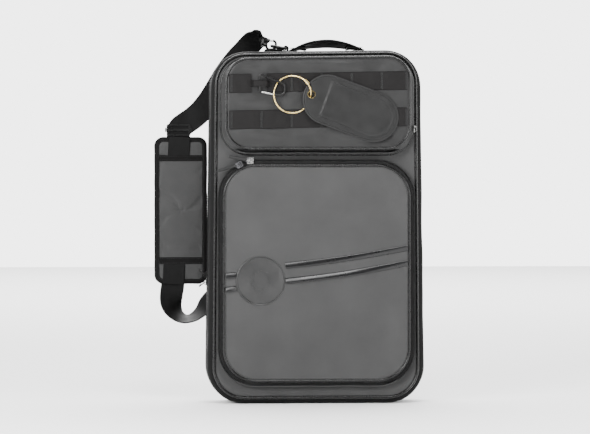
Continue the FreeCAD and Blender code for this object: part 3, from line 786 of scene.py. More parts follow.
def brick(size: tuple[float, float, float], ease: float) -> Patch:
    """A small eased block round the origin.

    Args:
        size: Its lengths along X, Y and Z.
        ease: Size of its eased edges.

    Returns:
        The closed surface.
    """
    x, y, z = (length / 2.0 for length in size)
    section = [(y - ease, -z), (y, ease - z), (y, z - ease), (y - ease, z),
               (ease - y, z), (-y, z - ease), (-y, ease - z), (ease - y, -z)]
    rows = [np.zeros((8, 3)) + (-x, 0.0, 0.0)]
    for place, share in ((-x, 1.0 - ease / z), (ease - x, 1.0), (x - ease, 1.0), (x, 1.0 - ease / z)):
        rows.append(np.array([(place, a * share, b * share) for a, b in section]))
    rows.append(np.zeros((8, 3)) + (x, 0.0, 0.0))
    return lattice(np.stack(rows), wrap_columns=True)


# ---- objects ---------------------------------------------------------------------

def build(name: str, patches: list[Patch], finish: Finish, body: str | None = None,
          replaces: tuple[str, ...] = (),
          sharp: float = 38.0) -> bpy.types.Object:
    """Turns surfaces into one object of the scene.

    Args:
        name: The object's name.
        patches: The surfaces.
        finish: The finish that covers it.
        body: The frame's body that it moves with.
        replaces: Frame nodes that it stands for.
        sharp: Angle above which an edge stays sharp, in degrees.

    Returns:
        The object.
    """
    points, faces, cloth, start = [], [], [], 0
    for patch in patches:
        points.append(patch.points)
        faces.extend((patch.faces + start).tolist())
        cloth.append(patch.cloth.reshape(-1, 2))
        start += len(patch.points)
    mesh = bpy.data.meshes.new(name)
    mesh.from_pydata((np.concatenate(points) * MM).tolist(), [], faces)
    layer = mesh.uv_layers.new(name="cloth")
    layer.data.foreach_set("uv", (np.concatenate(cloth) * MM).astype(np.float32).ravel())
    work = bmesh.new()
    work.from_mesh(mesh)
    bmesh.ops.remove_doubles(work, verts=work.verts, dist=2e-6)
    bmesh.ops.recalc_face_normals(work, faces=work.faces)
    work.to_mesh(mesh)
    work.free()
    mesh.shade_smooth()
    mesh.set_sharp_from_angle(angle=math.radians(sharp))
    mesh.materials.append(finish.material())
    made = bpy.data.objects.new(name, mesh)
    bpy.context.scene.collection.objects.link(made)
    if body is not None:
        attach(made, body)
    if replaces:
        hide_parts(*replaces)
    return made


class Repeater:
    """Sets copies of a small unit along paths: teeth, stitches and bars."""

    def __init__(self) -> None:
        """Builds the node tree that does the work."""
        tree = bpy.data.node_groups.new("repeat_along_path", "GeometryNodeTree")
        face = tree.interface
        self.sockets = {}
        for label, kind in (("Path", "NodeSocketGeometry"), ("Unit", "NodeSocketObject"),
                            ("Spacing", "NodeSocketFloat"), ("Side", "NodeSocketVector"),
                            ("Finish", "NodeSocketMaterial")):
            self.sockets[label] = face.new_socket(name=label, in_out="INPUT",
                                                  socket_type=kind).identifier
        face.new_socket(name="Result", in_out="OUTPUT", socket_type="NodeSocketGeometry")
        given = add_node(tree, "NodeGroupInput").outputs
        curve = add_node(tree, "GeometryNodeMeshToCurve", {"Mesh": given["Path"]})
        even = add_node(tree, "GeometryNodeResampleCurve",
                        {"Curve": curve.outputs["Curve"], "Length": given["Spacing"]}, mode="LENGTH")
        way = add_node(tree, "GeometryNodeInputTangent")
        turned = add_node(tree, "FunctionNodeAxesToRotation",
                          {0: way.outputs["Tangent"], 1: given["Side"]},
                          primary_axis="X", secondary_axis="Y")
        unit = add_node(tree, "GeometryNodeObjectInfo", {"Object": given["Unit"], "As Instance": True})
        copies = add_node(tree, "GeometryNodeInstanceOnPoints",
                          {"Points": even.outputs["Curve"], "Instance": unit.outputs["Geometry"],
                           "Rotation": turned.outputs["Rotation"]})
        real = add_node(tree, "GeometryNodeRealizeInstances", {"Geometry": copies.outputs["Instances"]})
        covered = add_node(tree, "GeometryNodeSetMaterial",
                           {"Geometry": real.outputs["Geometry"], "Material": given["Finish"]})
        add_node(tree, "NodeGroupOutput", {"Result": covered.outputs["Geometry"]})
        self.tree = tree

    def along(self, name: str, paths: list[tuple[np.ndarray, bool]], unit: Patch, spacing: float,
              side: tuple[float, float, float], finish: Finish, body: str,
              slot: str | None = None) -> bpy.types.Object:
        """Sets copies of a unit along paths and makes them one plain mesh.

        Args:
            name: The new object's name.
            paths: Each path's points, and whether it closes on itself.
            unit: The unit, with X along the path and Y to the given side.
            spacing: Distance between two copies.
            side: The direction that each copy's Y faces.
            finish: The finish that covers the copies.
            body: The frame's body that they move with.
            slot: The record's material slot; not used.

        Returns:
            The object.
        """
        points, edges = [], []
        for line, closed in paths:
            start, count = len(points), len(line)
            points.extend((np.asarray(line) * MM).tolist())
            edges.extend((start + k, start + (k + 1) % count) for k in range(count - 1 + closed))
        mesh = bpy.data.meshes.new(name + "_path")
        mesh.from_pydata(points, edges, [])
        carrier = bpy.data.objects.new(name + "_path", mesh)
        bpy.context.scene.collection.objects.link(carrier)
        one = build(name + "_unit", [unit], finish)
        modifier = carrier.modifiers.new("repeat", "NODES")
        modifier.node_group = self.tree
        modifier[self.sockets["Unit"]] = one
        modifier[self.sockets["Spacing"]] = spacing * MM
        modifier[self.sockets["Side"]] = side
        modifier[self.sockets["Finish"]] = finish.material()
        carrier.update_tag()
        bpy.context.view_layer.update()
        graph = bpy.context.evaluated_depsgraph_get()
        plain = bpy.data.meshes.new_from_object(carrier.evaluated_get(graph))
        plain.name = name
        made = bpy.data.objects.new(name, plain)
        bpy.context.scene.collection.objects.link(made)
        for spare in (carrier, one):
            bpy.data.objects.remove(spare)
        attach(made, body)
        return made


def dress(name: str, finish: Finish, frame: dict, bevel: float = 0.0, sharp: float = 32.0) -> None:
    """Gives a frame node its finish, and eases its edges.

    Args:
        name: The node's name.
        finish: The finish that covers it.
        bevel: Width of the eased edges, in millimetres.
        sharp: Angle above which an edge stays sharp, in degrees.
    """
    node = frame["nodes"][name]
    node.data.materials.clear()
    node.data.materials.append(finish.material())
    node.data.shade_smooth()
    node.data.set_sharp_from_angle(angle=math.radians(sharp))
    if bevel > 0.0:
        eased = node.modifiers.new("eased_edges", "BEVEL")
        eased.width = bevel * MM
        eased.segments = 2
        eased.limit_method = "ANGLE"
        eased.angle_limit = math.radians(40.0)
        eased.harden_normals = False


def extent(node: str) -> tuple[np.ndarray, np.ndarray]:
    """Finds where a frame node is.

    Args:
        node: The node's name.

    Returns:
        Its lowest and highest corner in millimetres.
    """
    low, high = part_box(node)
    return np.array(low) / MM, np.array(high) / MM


def stitch(length: float = 2.3, thick: float = 0.55) -> Patch:
    """One stitch of sewing thread.

    Args:
        length: Its length along the seam.
        thick: The thread's thickness.

    Returns:
        The closed surface.
    """
    return brick((length, thick * 0.8, thick), thick * 0.22)


def tooth(along: float, across: float, high: float) -> Patch:
    """One tooth of a zip.

    Args:
        along: Its length along the zip.
        across: Its length along the unit's Y.
        high: Its length along the unit's Z.

    Returns:
        The closed surface.
    """
    return brick((along, across, high), 0.22)


# ---- the bag's two halves ----------------------------------------------------------

@dataclass(frozen=True)
class BagShape:
    """The outlines that the bag's parts share."""

    body: Outline
    front: Outline
    low: Outline
    up: Outline
    up_base: Outline
    top_left: float
    top_right: float

    @classmethod
    def from_frame(cls) -> BagShape:
        """Reads the outlines' extents from the frame.

        Returns:
            The outlines.
        """
        low, high = extent("rear_gusset")
        sag, taper = 4.0, 6.0
        body = Outline([(low[0], low[2]), (high[0], low[2]), (high[0] - taper, high[2]),
                        (low[0] + taper, high[2] - sag)], 49.0)
        panel_low, panel_high = extent("front_panel")
        edge = 2.5
        front = Outline([(panel_low[0] - edge, panel_low[2] - edge),
                         (panel_high[0] + edge, panel_low[2] - edge),
                         (panel_high[0] + edge - 4.0, panel_high[2] + edge),
                         (panel_low[0] - edge + 4.0, panel_high[2] + edge - sag)], 41.0, body.counts)
        face_low, face_high = extent("lower_pocket_face")
        pad = 3.5
        lower = Outline([(face_low[0] - pad, face_low[2] - pad), (face_high[0] + pad, face_low[2] - pad),
                         (face_high[0] + pad, face_high[2] + pad),
                         (face_low[0] - pad, face_high[2] + pad)], 45.0)
        bead_low, bead_high = extent("upper_pocket_piping")
        out = -1.2
        upper = Outline([(bead_low[0] - out, bead_low[2] - out), (bead_high[0] + out, bead_low[2] - out),
                         (bead_high[0] + out, bead_high[2] + out),
                         (bead_low[0] - out, bead_high[2] + out - sag)], 32.0)
        wall_low, wall_high = extent("upper_pocket_wall")
        base = Outline([(wall_low[0], wall_low[2]), (wall_high[0], wall_low[2]),
                        (wall_high[0], wall_high[2]), (wall_low[0], wall_high[2] - sag)], 36.0,
                       upper.counts)
        return cls(body, front, lower, upper, base, float(high[2]) - sag, float(high[2]))

    def top_edge(self, x: float) -> float:
        """Height of the body's top edge.

        Args:
            x: Place along the top.

        Returns:
            The height.
        """
        return self.top_left + (self.top_right - self.top_left) * (x + 143.0) / 286.0


@dataclass(frozen=True)
class RearHalf:
    """The rear half: gusset, piping, back panel, boards, row of teeth and handle."""

    shape: BagShape
    repeater: Repeater
    wall: float = 3.0
    lean: float = 9.0
    tab: float = 24.0

    def make(self, frame: dict) -> None:
        """Builds the rear half.
        """
        body = self.shape.body
        low, high = extent("rear_gusset")
        build("gusset_rear", [girdle(body, block(0.0, self.wall, low[1], high[1]),
                                     ripple=Ripple(60.0, 0.35, 3))],
              GUSSET, "case", ("rear_gusset",))
        bead_low, bead_high = extent("rear_piping")
        bead_y = (bead_low[1] + bead_high[1]) / 2.0
        build("piping_rear", [tube(body.loop(2.2, bead_y), 2.0, closed=True)], PIPING, "case",
              ("rear_piping",))
        panel_low, panel_high = extent("rear_panel")
        middle = (0.0, float(panel_high[2]) / 2.0)
        relief = Relief(-float(panel_high[1]), 0.8, middle, (143.0, 238.0),
                        (Ripple(90.0, 0.35, 8), Ripple(34.0, 0.12, 9)))
        flat = pillow(body, 4.4, -float(panel_low[1]), relief)
        flat.points[:, 1] *= -1.0
        build("panel_rear", [flat], BORDER, "case", ("rear_panel",))
        zip_back = extent("rear_zip_half")[1][1]
        build("tape_rear", [girdle(body, block(0.7, 1.9, 2.3, zip_back + 0.6, 0.2),
                                   ripple=Ripple(40.0, 0.12, 5))],
              ZIP_TAPE, "case", ("rear_zip_half",))
        self.repeater.along("teeth_rear", [(body.loop(1.3, 2.0), True)],
                            tooth(*MAIN_TOOTH), MAIN_PITCH, ACROSS, ZIP_TEETH, "case", "zip")
        seams = [(body.loop(-0.1, y), True) for y in (11.0, 41.2)]
        self.repeater.along("stitches_rear_gusset", seams, stitch(), GUSSET_PITCH, ACROSS, THREAD,
                            "case", "zip")
        dress("rear_foam_board", FOAM, frame)
        dress("stick_sleeves", LINING, frame)
        for name in ("top_hook_body", "low_hook_body"):
            dress(name, BLACK_METAL, frame)
        self.handle()

    def handle(self) -> None:
        """Builds the leaning webbing handle and its two stitched tabs."""
        low, high = extent("handle_webbing")
        y, wide = float(low[1] + high[1]) / 2.0, float(high[1] - low[1])
        left, right = float(low[0]) + 0.6, float(high[0]) - 0.6
        stations = []
        for share in np.linspace(0.0, 1.0, 15):
            x = left + (right - left) * share
            arch = 1.0 - (2.0 * share - 1.0) ** 2
            foot = self.shape.top_edge(x) + 2.6
            drop = self.lean * arch
            z = foot + (high[2] - 1.5 - foot) * arch - drop / 2.0
            reach = math.hypot(wide, drop)
            stations.append((x, y, z, 0.0, wide / reach, -drop / reach))
        build("handle_strap", [ribbon(stations, wide + 1.0, 3.0, ripple=Ripple(26.0, 0.15, 4))],
              STRAP, "case", ("handle_webbing",))
        tabs, seams = [], []
        tab_low, tab_high = extent("handle_tabs")
        margin = 2.5
        for start, end, out in ((tab_low[0], tab_low[0] + self.tab, -1.0),
                                (tab_high[0] - self.tab, tab_high[0], 1.0)):
            flat = []
            for share, lift in ((0.0, 1.4), (0.12, 2.6), (0.22, 4.2), (0.4, 4.9), (0.6, 4.9),
                                (0.85, 4.4), (1.0, 3.6)):
                x = end - share * self.tab if out > 0 else start + share * self.tab
                flat.append((x, y, self.shape.top_edge(x) + lift, 0.0, out, 0.0))
            tabs.append(ribbon(flat, wide + 1.6, 2.6, ripple=Ripple(15.0, 0.15, 6)))
            near, far = y - wide / 2 + margin, y + wide / 2 - margin
            corners = [(start + margin, near), (end - margin, near), (end - margin, far),
                       (start + margin, far)]
            ring = [(a, b, self.shape.top_edge(a) + 6.2) for a, b in corners]
            seams.append((np.array(ring), True))
            seams.append((np.array([ring[0], ring[2]]), False))
            seams.append((np.array([ring[1], ring[3]]), False))
        build("handle_end_tabs", tabs, STRAP, "case", ("handle_tabs",))
        self.repeater.along("stitches_handle", seams, stitch(), CROSS_PITCH, (0.0, 0.0, 1.0),
                            THREAD, "case", "strap_webbing")


@dataclass(frozen=True)
class FrontHalf:
    """The front half: gusset with its rounded shoulder, piping, panel and row of teeth."""

    shape: BagShape
    repeater: Repeater
    wall: float = 3.0

    def make(self, frame: dict) -> None:
        """Builds the front half.
        """
        body, front = self.shape.body, self.shape.front
        low, high = extent("front_gusset")
        straight, shoulder, edge = float(high[1]), -24.0, float(low[1])
        rows = [body.loop(0.0, y) for y in np.linspace(straight, shoulder, 5)]
        for turn in np.linspace(0.0, math.pi / 2.0, 7)[1:]:
            share = 1.0 - math.cos(turn)
            y = shoulder + (edge - shoulder) * math.sin(turn)
            rows.append(body.loop(0.0, y) * (1.0 - share) + front.loop(0.0, y) * share)
        inner = front.loop(self.wall, edge + 0.4)
        rows += [inner, body.loop(self.wall, shoulder), body.loop(self.wall, straight)]
        shift = Ripple(55.0, 0.35, 12).at(body.loop())[None, :, None]
        aside = np.stack([body.normals[:, 0], np.zeros(len(body.normals)), body.normals[:, 1]], -1)
        skin = lattice(np.stack(rows) + shift * aside[None], wrap_columns=True, wrap_rows=True)
        build("gusset_front", [skin], GUSSET, "lid", ("front_gusset",))
        bead_low, bead_high = extent("front_piping")
        bead_y = float(bead_low[1] + bead_high[1]) / 2.0
        build("piping_front", [tube(front.loop(0.3, bead_y), 2.0, closed=True)], PIPING, "lid",
              ("front_piping",))
        panel_low, panel_high = extent("front_panel")
        relief = Relief(float(panel_low[1]), 0.0, (0.0, 242.0), (139.0, 236.0),
                        (Ripple(44.0, 0.4, 21), Ripple(19.0, 0.14, 22)))
        build("panel_front", [pillow(front, 2.0, float(panel_high[1]), relief, rings=36)], BORDER,
              "lid", ("front_panel",))
        build("tape_front", [girdle(body, block(0.7, 1.9, float(extent("front_zip_half")[0][1]) - 0.6,
                                                -2.3, 0.2), ripple=Ripple(40.0, 0.12, 6))],
              ZIP_TAPE, "lid", ("front_zip_half",))
        self.repeater.along("teeth_front", [(body.loop(1.3, -2.0), True)],
                            tooth(*MAIN_TOOTH), MAIN_PITCH, ACROSS, ZIP_TEETH, "lid", "zip")
        gusset_seam = body.loop(-0.1, -11.0)
        panel_seam = front.loop(2.9, float(panel_low[1]) - 0.1)
        self.repeater.along("stitches_front_gusset", [(gusset_seam, True)], stitch(), GUSSET_PITCH,
                            ACROSS, THREAD, "lid", "zip")
        self.repeater.along("stitches_front_panel", [(panel_seam, True)], stitch(*FINE_STITCH),
                            FINE_PITCH, FRONT, THREAD, "lid", "piping")
        dress("front_foam_board", FOAM, frame)


# ---- the two pockets -----------------------------------------------------------------

@dataclass(frozen=True)
class LowerPocket:
    """The large pocket with its zip, badge and raised stripes."""

    shape: BagShape
    repeater: Repeater
    stripe: float = 8.0

    def relief(self) -> Relief:
        """The modelled front of the pocket's cloth.

        Returns:
            The relief.
        """
        low, _ = extent("lower_pocket_face")
        badge_low, badge_high = extent("round_badge")
        calm = ((badge_low[0] + badge_high[0]) / 2.0, (badge_low[2] + badge_high[2]) / 2.0, 33.0)
        folds = (Crease((-110.0, 296.0), (-60.0, 250.0), 9.0, 0.5),
                 Crease((-118.0, 240.0), (-96.0, 205.0), 6.0, 0.5),
                 Crease((20.0, 309.0), (10.0, 250.0), 14.0, 0.45),
                 Crease((95.0, 305.0), (115.0, 255.0), 8.0, 0.5),
                 Crease((116.0, 120.0), (96.0, 60.0), 9.0, 0.5),
                 Crease((-60.0, 45.0), (-10.0, 95.0), 16.0, 0.5),
                 Crease((-118.0, 100.0), (-100.0, 55.0), 8.0, 0.5),
                 Crease((50.0, 40.0), (90.0, 80.0), 12.0, -0.4))
        return Relief(float(low[1]), 1.4, (0.0, 177.0), (127.0, 147.0),
                      (Ripple(120.0, 0.4, 31), Ripple(48.0, 0.16, 32)), folds, calm)

    def make(self, frame: dict) -> None:
        """Builds the pocket.
        """
        low = self.shape.low
        floor = float(extent("lower_zip_outer")[0][2])
        wall_low, wall_high = extent("lower_pocket_wall")
        build("wall_lower_pocket", [girdle(low, block(-7.0, -5.5, wall_low[1], wall_high[1]),
                                           ripple=Ripple(40.0, 0.3, 41))],
              BORDER, "lid", ("lower_pocket_wall",))
        front, back = (float(extent("lower_zip_outer")[side][1]) for side in (0, 1))
        build("tape_lower_outer", [girdle(low, block(-7.0, -5.9, front + 0.2, back, 0.2), floor)],
              ZIP_TAPE, "lid", ("lower_zip_outer",))
        build("tape_lower_inner", [girdle(low, block(-4.1, 0.4, front + 0.2, back, 0.2), floor)],
              ZIP_TAPE, "lower_flap", ("lower_zip_inner",))
        for name, inset, body in (("outer", -5.85, "lid"), ("inner", -4.15, "lower_flap")):
            row = low.loop(inset, (front + back) / 2.0 - 0.1)
            row = open_run(row, row[:, 2] >= floor + 1.0)
            self.repeater.along("teeth_lower_" + name, [(row, False)], tooth(0.95, 1.5, 1.4),
                                SMALL_PITCH, FRONT, ZIP_TEETH, body, "zip")
        relief = self.relief()
        face_back = relief.y + 1.2
        rim = girdle(low, block(3.5, 4.8, face_back - 0.2, front - 0.3))
        build("face_lower_pocket", [pillow(low, 3.1, face_back, relief, rings=60), rim], COATED_LOW,
              "lower_flap", ("lower_pocket_face",))
        bead = low.loop(1.4, relief.y + 1.4)
        build("piping_lower_pocket", [tube(bead, 1.8, closed=True)], PIPING, "lower_flap",
              ("lower_pocket_piping",))
        seam = low.loop(4.4)
        seam[:, 1] = relief.depth(seam[:, [0, 2]]) - 0.1
        self.repeater.along("stitches_lower_pocket", [(seam, True)], stitch(*FINE_STITCH),
                            FINE_PITCH, FRONT, THREAD, "lower_flap", "piping")
        self.badge(relief)
        self.stripes(relief)
        dress("low_slider_left", GUNMETAL, frame, 0.3)
        dress("low_slider_right", GATE_METAL, frame, 0.3)
        self.pull("left", (-1.0, -0.27))
        self.pull("right", (-1.0, 0.2))

    def pull(self, side: str, way: tuple[float, float]) -> None:
        """Builds one slider's pull: a bent wire link and the soft strip it carries.

        Args:
            side: Which pull, as the frame's node names it.
            way: Direction (x, z) in which the pull lies.
        """
        low, high = extent("low_pull_" + side)
        along = np.array(way) / math.hypot(*way)
        over = np.array((along[1], -along[0])) * (1.0 if along[1] < 0.0 else -1.0)
        half, wire = 2.9, 0.6
        axle = np.array((float(high[0]) - half * abs(along[1]) - wire,
                         float(high[2]) - half * abs(along[0]) - wire * abs(along[1])))
        if along[1] > 0.0:
            axle[1] = float(low[2]) + half * abs(along[0]) + wire * abs(along[1])
        y = float(low[1] + high[1]) / 2.0

        def place(ahead: float, aside: float, depth: float = 0.0) -> tuple[float, float, float]:
            """Finds a point on the pull, measured from its axle.

            Args:
                ahead: Distance along the pull.
                aside: Distance across it.
                depth: Distance towards the back.

            Returns:
                The point (x, y, z).
            """
            spot = axle + along * ahead + over * aside
            return (float(spot[0]), y + depth, float(spot[1]))

        corners = [place(0.0, -half + 0.5), place(2.4, -half + 0.4), place(4.8, -half + 1.0, -0.3),
                   place(6.2, 0.0, -0.4), place(4.8, half - 1.0, -0.3), place(2.4, half - 0.4),
                   place(0.0, half - 0.5)]
        line = smooth_line(np.array(corners), 0.4, closed=True)
        build("low_pull_link_" + side, [tube(line, 0.65, FRONT, closed=True)], GUNMETAL,
              "pocket_pull_" + side, ("low_pull_" + side,))
        flat = [place(ahead, 0.0, depth) + (float(over[0]), 0.0, float(over[1]))
                for ahead, depth in ((5.2, -0.5), (9.0, -0.3), (18.0, -0.1), (29.6, 0.0))]
        build("low_pull_strip_" + side, [ribbon(flat, 4.3, 1.5, 1.0)], RUBBER,
              "pocket_pull_" + side, ())

    def badge(self, relief: Relief) -> None:
        """Builds the round moulded badge with a plain ring pattern.

        Args:
            relief: The front of the pocket's cloth.
        """
        low, high = extent("round_badge")
        centre = (float(low[0] + high[0]) / 2.0, float(low[2] + high[2]) / 2.0)
        radius, top = float(high[0] - low[0]) / 2.0, float(low[1])
        seat = relief.y + 0.6
        rim = [(0.0, seat), (radius, seat), (radius, top + 0.3), (radius - 0.15, top),
               (radius - 0.5, top - 0.1), (radius - 0.8, top + 0.05), (radius - 1.6, top + 0.95),
               (radius - 1.8, top + 1.0), (radius - 2.4, top + 1.0), (10.0, top + 0.95),
               (0.0, top + 0.95)]
        build("badge_disc", [lathe(centre, rim)], BADGE, "lower_flap", ("round_badge",))
        ring = lathe(centre, [(12.8, top + 0.9), (12.9, top + 0.9)], 48).points[:48]
        self.repeater.along("badge_marks", [(ring, True)], brick((1.6, 0.4, 4.0), 0.15), 4.0, FRONT,
                            BADGE, "lower_flap", "moulded")
        fine = lathe(centre, [(radius - 1.8, top - 0.02), (radius, top)], 90).points[:90]
        self.repeater.along("badge_stitches", [(fine, True)], stitch(1.9, 0.45), 2.9, FRONT, THREAD,
                            "lower_flap", "moulded")

    def stripes(self, relief: Relief) -> None:
        """Builds the glossy raised stripes either side of the badge.

        Args:
            relief: The front of the pocket's cloth.
        """
        low, high = extent("raised_stripes")
        badge_low, badge_high = extent("round_badge")
        middle = float(badge_low[2] + badge_high[2]) / 2.0
        right = (float(badge_high[0]) + 0.4, float(high[0]))
        left = (float(low[0]), float(badge_low[0]) - 0.4)
        bands = []
        for height, twist in ((18.0, (16.0, 3.0, -9.0)), (-2.5, (27.0, 19.0, -6.0))):
            fall = 14.0 * (1.0 if height > 0 else 0.85)
            bands.append((right, middle + height + 2.5, 0.142, twist))
            bands.append((left, middle + height - fall + 2.5, 0.12, (twist[0], 20.0, twist[0])))
        made = []
        for (start, end), base, slope, twist in bands:
            stations = []
            for x in np.linspace(start, end, max(4, int((end - start) / 6.0))):
                share = (x - start) / (end - start)
                sag = 2.2 * math.sin(math.pi * share) if end > 0 else 0.0
                z = base + slope * (x - start) - sag
                turn = math.radians(float(np.interp(share, (0.0, 0.5, 1.0), twist)))
                y = float(relief.depth(np.array([[x, z]]))[0]) - 0.5 - 2.4 * abs(math.sin(turn))
                stations.append((x, y, z, -slope, math.sin(turn), math.cos(turn)))
            made.append(ribbon(stations, self.stripe, 1.9, 2.0, crown=0.5))
        build("stripes_raised", made, RAISED, "lower_flap", ("raised_stripes",))


@dataclass(frozen=True)
class UpperPocket:
    """The raised pocket with its double piping, side zip and two rows of ladder webbing."""

    shape: BagShape
    repeater: Repeater
    cell: float = 40.6

    def relief(self) -> Relief:
        """The modelled front of the pocket's cloth.

        Returns:
            The relief.
        """
        low, _ = extent("upper_pocket_face")
        folds = (Crease((-104.0, 459.0), (-56.0, 447.0), 6.0, 1.3),
                 Crease((-108.0, 446.0), (-70.0, 454.0), 8.0, -0.9),
                 Crease((-20.0, 462.0), (60.0, 456.0), 6.0, 1.1),
                 Crease((-112.0, 411.0), (-50.0, 404.0), 6.0, 1.5),
                 Crease((-96.0, 401.0), (-30.0, 408.0), 8.0, -1.0),
                 Crease((30.0, 404.0), (110.0, 414.0), 8.0, 1.3),
                 Crease((-104.0, 370.0), (-40.0, 361.0), 6.0, 1.4),
                 Crease((-30.0, 361.0), (10.0, 369.0), 6.0, -1.0),
                 Crease((20.0, 368.0), (70.0, 360.0), 6.0, 1.3),
                 Crease((66.0, 371.0), (108.0, 362.0), 7.0, -1.0),
                 Crease((85.0, 456.0), (112.0, 440.0), 6.0, 1.3))
        return Relief(float(low[1]), 0.6, (1.5, 408.0), (123.0, 61.0),
                      (Ripple(60.0, 0.7, 51), Ripple(24.0, 0.22, 52)), folds)

    def make(self, frame: dict) -> None:
        """Builds the pocket.
        """
        up, base = self.shape.up, self.shape.up_base
        wall_low, wall_high = extent("upper_pocket_wall")
        build("wall_upper_pocket", [girdle(base, block(0.0, 1.6, wall_low[1], wall_high[1]),
                                           ripple=Ripple(30.0, 0.25, 61))],
              BORDER, "lid", ("upper_pocket_wall",))
        bead_low, bead_high = extent("upper_base_piping")
        bead = base.loop(-0.4, float(bead_low[1] + bead_high[1]) / 2.0)
        build("piping_upper_base", [tube(bead, 1.9, closed=True)], PIPING, "lid",
              ("upper_base_piping",))
        floor = float(extent("upper_zip_outer")[0][2])
        for name, body in (("outer", "lid"), ("inner", "upper_flap")):
            node = "upper_zip_" + name
            zip_low, zip_high = extent(node)
            build("tape_upper_" + name, [girdle(base, block(1.2, 2.4, zip_low[1], zip_high[1], 0.2),
                                                floor)],
                  ZIP_TAPE, body, (node,))
            row = base.loop(1.1, float(zip_low[1] + zip_high[1]) / 2.0)
            row = open_run(row, row[:, 2] >= floor + 2.0)
            self.repeater.along("teeth_upper_" + name, [(row, False)], tooth(0.95, 1.3, 1.4),
                                SMALL_PITCH, ACROSS, ZIP_TEETH, body, "zip")
        relief = self.relief()
        _, face_high = extent("upper_pocket_face")
        rim_y, back = float(face_high[1]), relief.y + 1.2
        rows = [up.loop(0.9, relief.y + 3.4)]
        rows += [up.loop(0.6, y) * (1.0 - s) + base.loop(0.2, y) * s
                 for s, y in zip(np.linspace(0.0, 1.0, 5), np.linspace(relief.y + 3.5, rim_y - 0.3, 5))]
        rows += [base.loop(0.4, rim_y), base.loop(1.8, rim_y), up.loop(4.0, relief.y + 3.6)]
        stack = np.stack(rows)
        least = floor - 0.3
        stack[:, :, 2] = np.maximum(stack[:, :, 2], least)
        slope = lattice(stack, wrap_columns=True, wrap_rows=True)
        lip = girdle(up, block(2.8, 4.2, back - 0.2, relief.y + 3.5))
        build("face_upper_pocket", [pillow(up, 2.4, back, relief, rings=56), slope, lip], COATED_UP,
              "upper_flap", ("upper_pocket_face",))
        build("piping_upper_pocket", [tube(up.loop(0.8, relief.y + 1.4), 1.8, closed=True)], PIPING,
              "upper_flap", ("upper_pocket_piping",))
        seam = up.loop(3.8)
        seam[:, 1] = relief.depth(seam[:, [0, 2]]) - 0.1
        self.repeater.along("stitches_upper_pocket", [(seam, True)], stitch(*FINE_STITCH),
                            FINE_PITCH, FRONT, THREAD, "upper_flap", "piping")
        self.ladder("low", relief, None)
        self.ladder("top", relief, float(extent("snap_hook_body")[0][0]) + 2.0)
        dress("up_slider", GATE_METAL, frame, 0.3)
        dress("up_pull", BLACK_METAL, frame, 0.2)

    def ladder(self, row: str, relief: Relief, tunnel: float | None) -> None:
        """Builds one row of ladder webbing with its bar tacks.

        Args:
            row: Which row, as the frame's node names it.
            relief: The front of the pocket's cloth.
            tunnel: Where the webbing lifts over the snap hook, if it does.
        """
        low, high = extent("ladder_webbing_" + row)
        tall, slope, gap = 25.0, 0.02, 9.0
        middle = float(low[2] + high[2]) / 2.0
        left, right = float(low[0]), float(high[0])
        centre = (left + right) / 2.0
        thick = 1.3
        seat = relief.y - 0.6 - thick / 2.0
        tacks = [left + 3.0 + self.cell * k for k in range(int((right - left) / self.cell) + 1)]
        tacks.append(right - 1.5)
        wave = Ripple(17.0, 0.32, 71 if row == "low" else 72)
        stations = []
        for x in np.arange(left, right + 1.0, 3.0):
            near = min(abs(x - tack) for tack in tacks)
            puff = 0.6 * (1.0 - math.exp(-(near / 6.0) ** 2))
            if tunnel is not None:
                puff *= 1.0 - math.exp(-(max(abs(x - tunnel) - 8.0, 0.0) / 8.0) ** 2)
            stations.append((x, seat - puff, middle + slope * (x - centre), -slope, 0.0, 1.0))
        pieces = []
        if tunnel is None:
            pieces.append(ribbon(stations, tall, thick, 1.5, ripple=wave))
        else:
            before = [s for s in stations if s[0] < tunnel - gap]
            after = [s for s in stations if s[0] > tunnel + gap]
            pieces += [ribbon(run, tall, thick, 1.5, ripple=wave) for run in (before, after)]
            ridge = float(low[1]) + thick / 2.0
            lift = [(tunnel - 14.0, seat), (tunnel - 11.5, seat - 2.0), (tunnel - 8.5, ridge + 1.0),
                    (tunnel - 5.0, ridge), (tunnel, ridge), (tunnel + 5.0, ridge),
                    (tunnel + 8.5, ridge + 1.0), (tunnel + 11.5, seat - 2.0), (tunnel + 14.0, seat)]
            high_z = middle - 2.2
            arch = [(x, y, high_z, 0.0, 0.0, 1.0) for x, y in lift]
            pieces.append(ribbon(arch, 8.4, thick, 1.0))
        build("ladder_" + row, pieces, LADDER, "upper_flap", ("ladder_webbing_" + row,))
        bars = []
        for tack in tacks:
            if tunnel is not None and abs(tack - tunnel) < 12.0:
                continue
            z = middle + slope * (tack - centre)
            y = seat - thick / 2.0 - 0.15
            bars.append((np.array([(tack, y, z - tall / 2.0 + 1.5), (tack, y, z + tall / 2.0 - 1.5)]),
                         False))
        self.repeater.along("bar_tacks_" + row, bars, brick((0.75, 0.7, 3.2), 0.15), 0.85, FRONT,
                            THREAD, "upper_flap", "ladder_webbing")


# ---- hook, cable ring and fob ----------------------------------------------------------

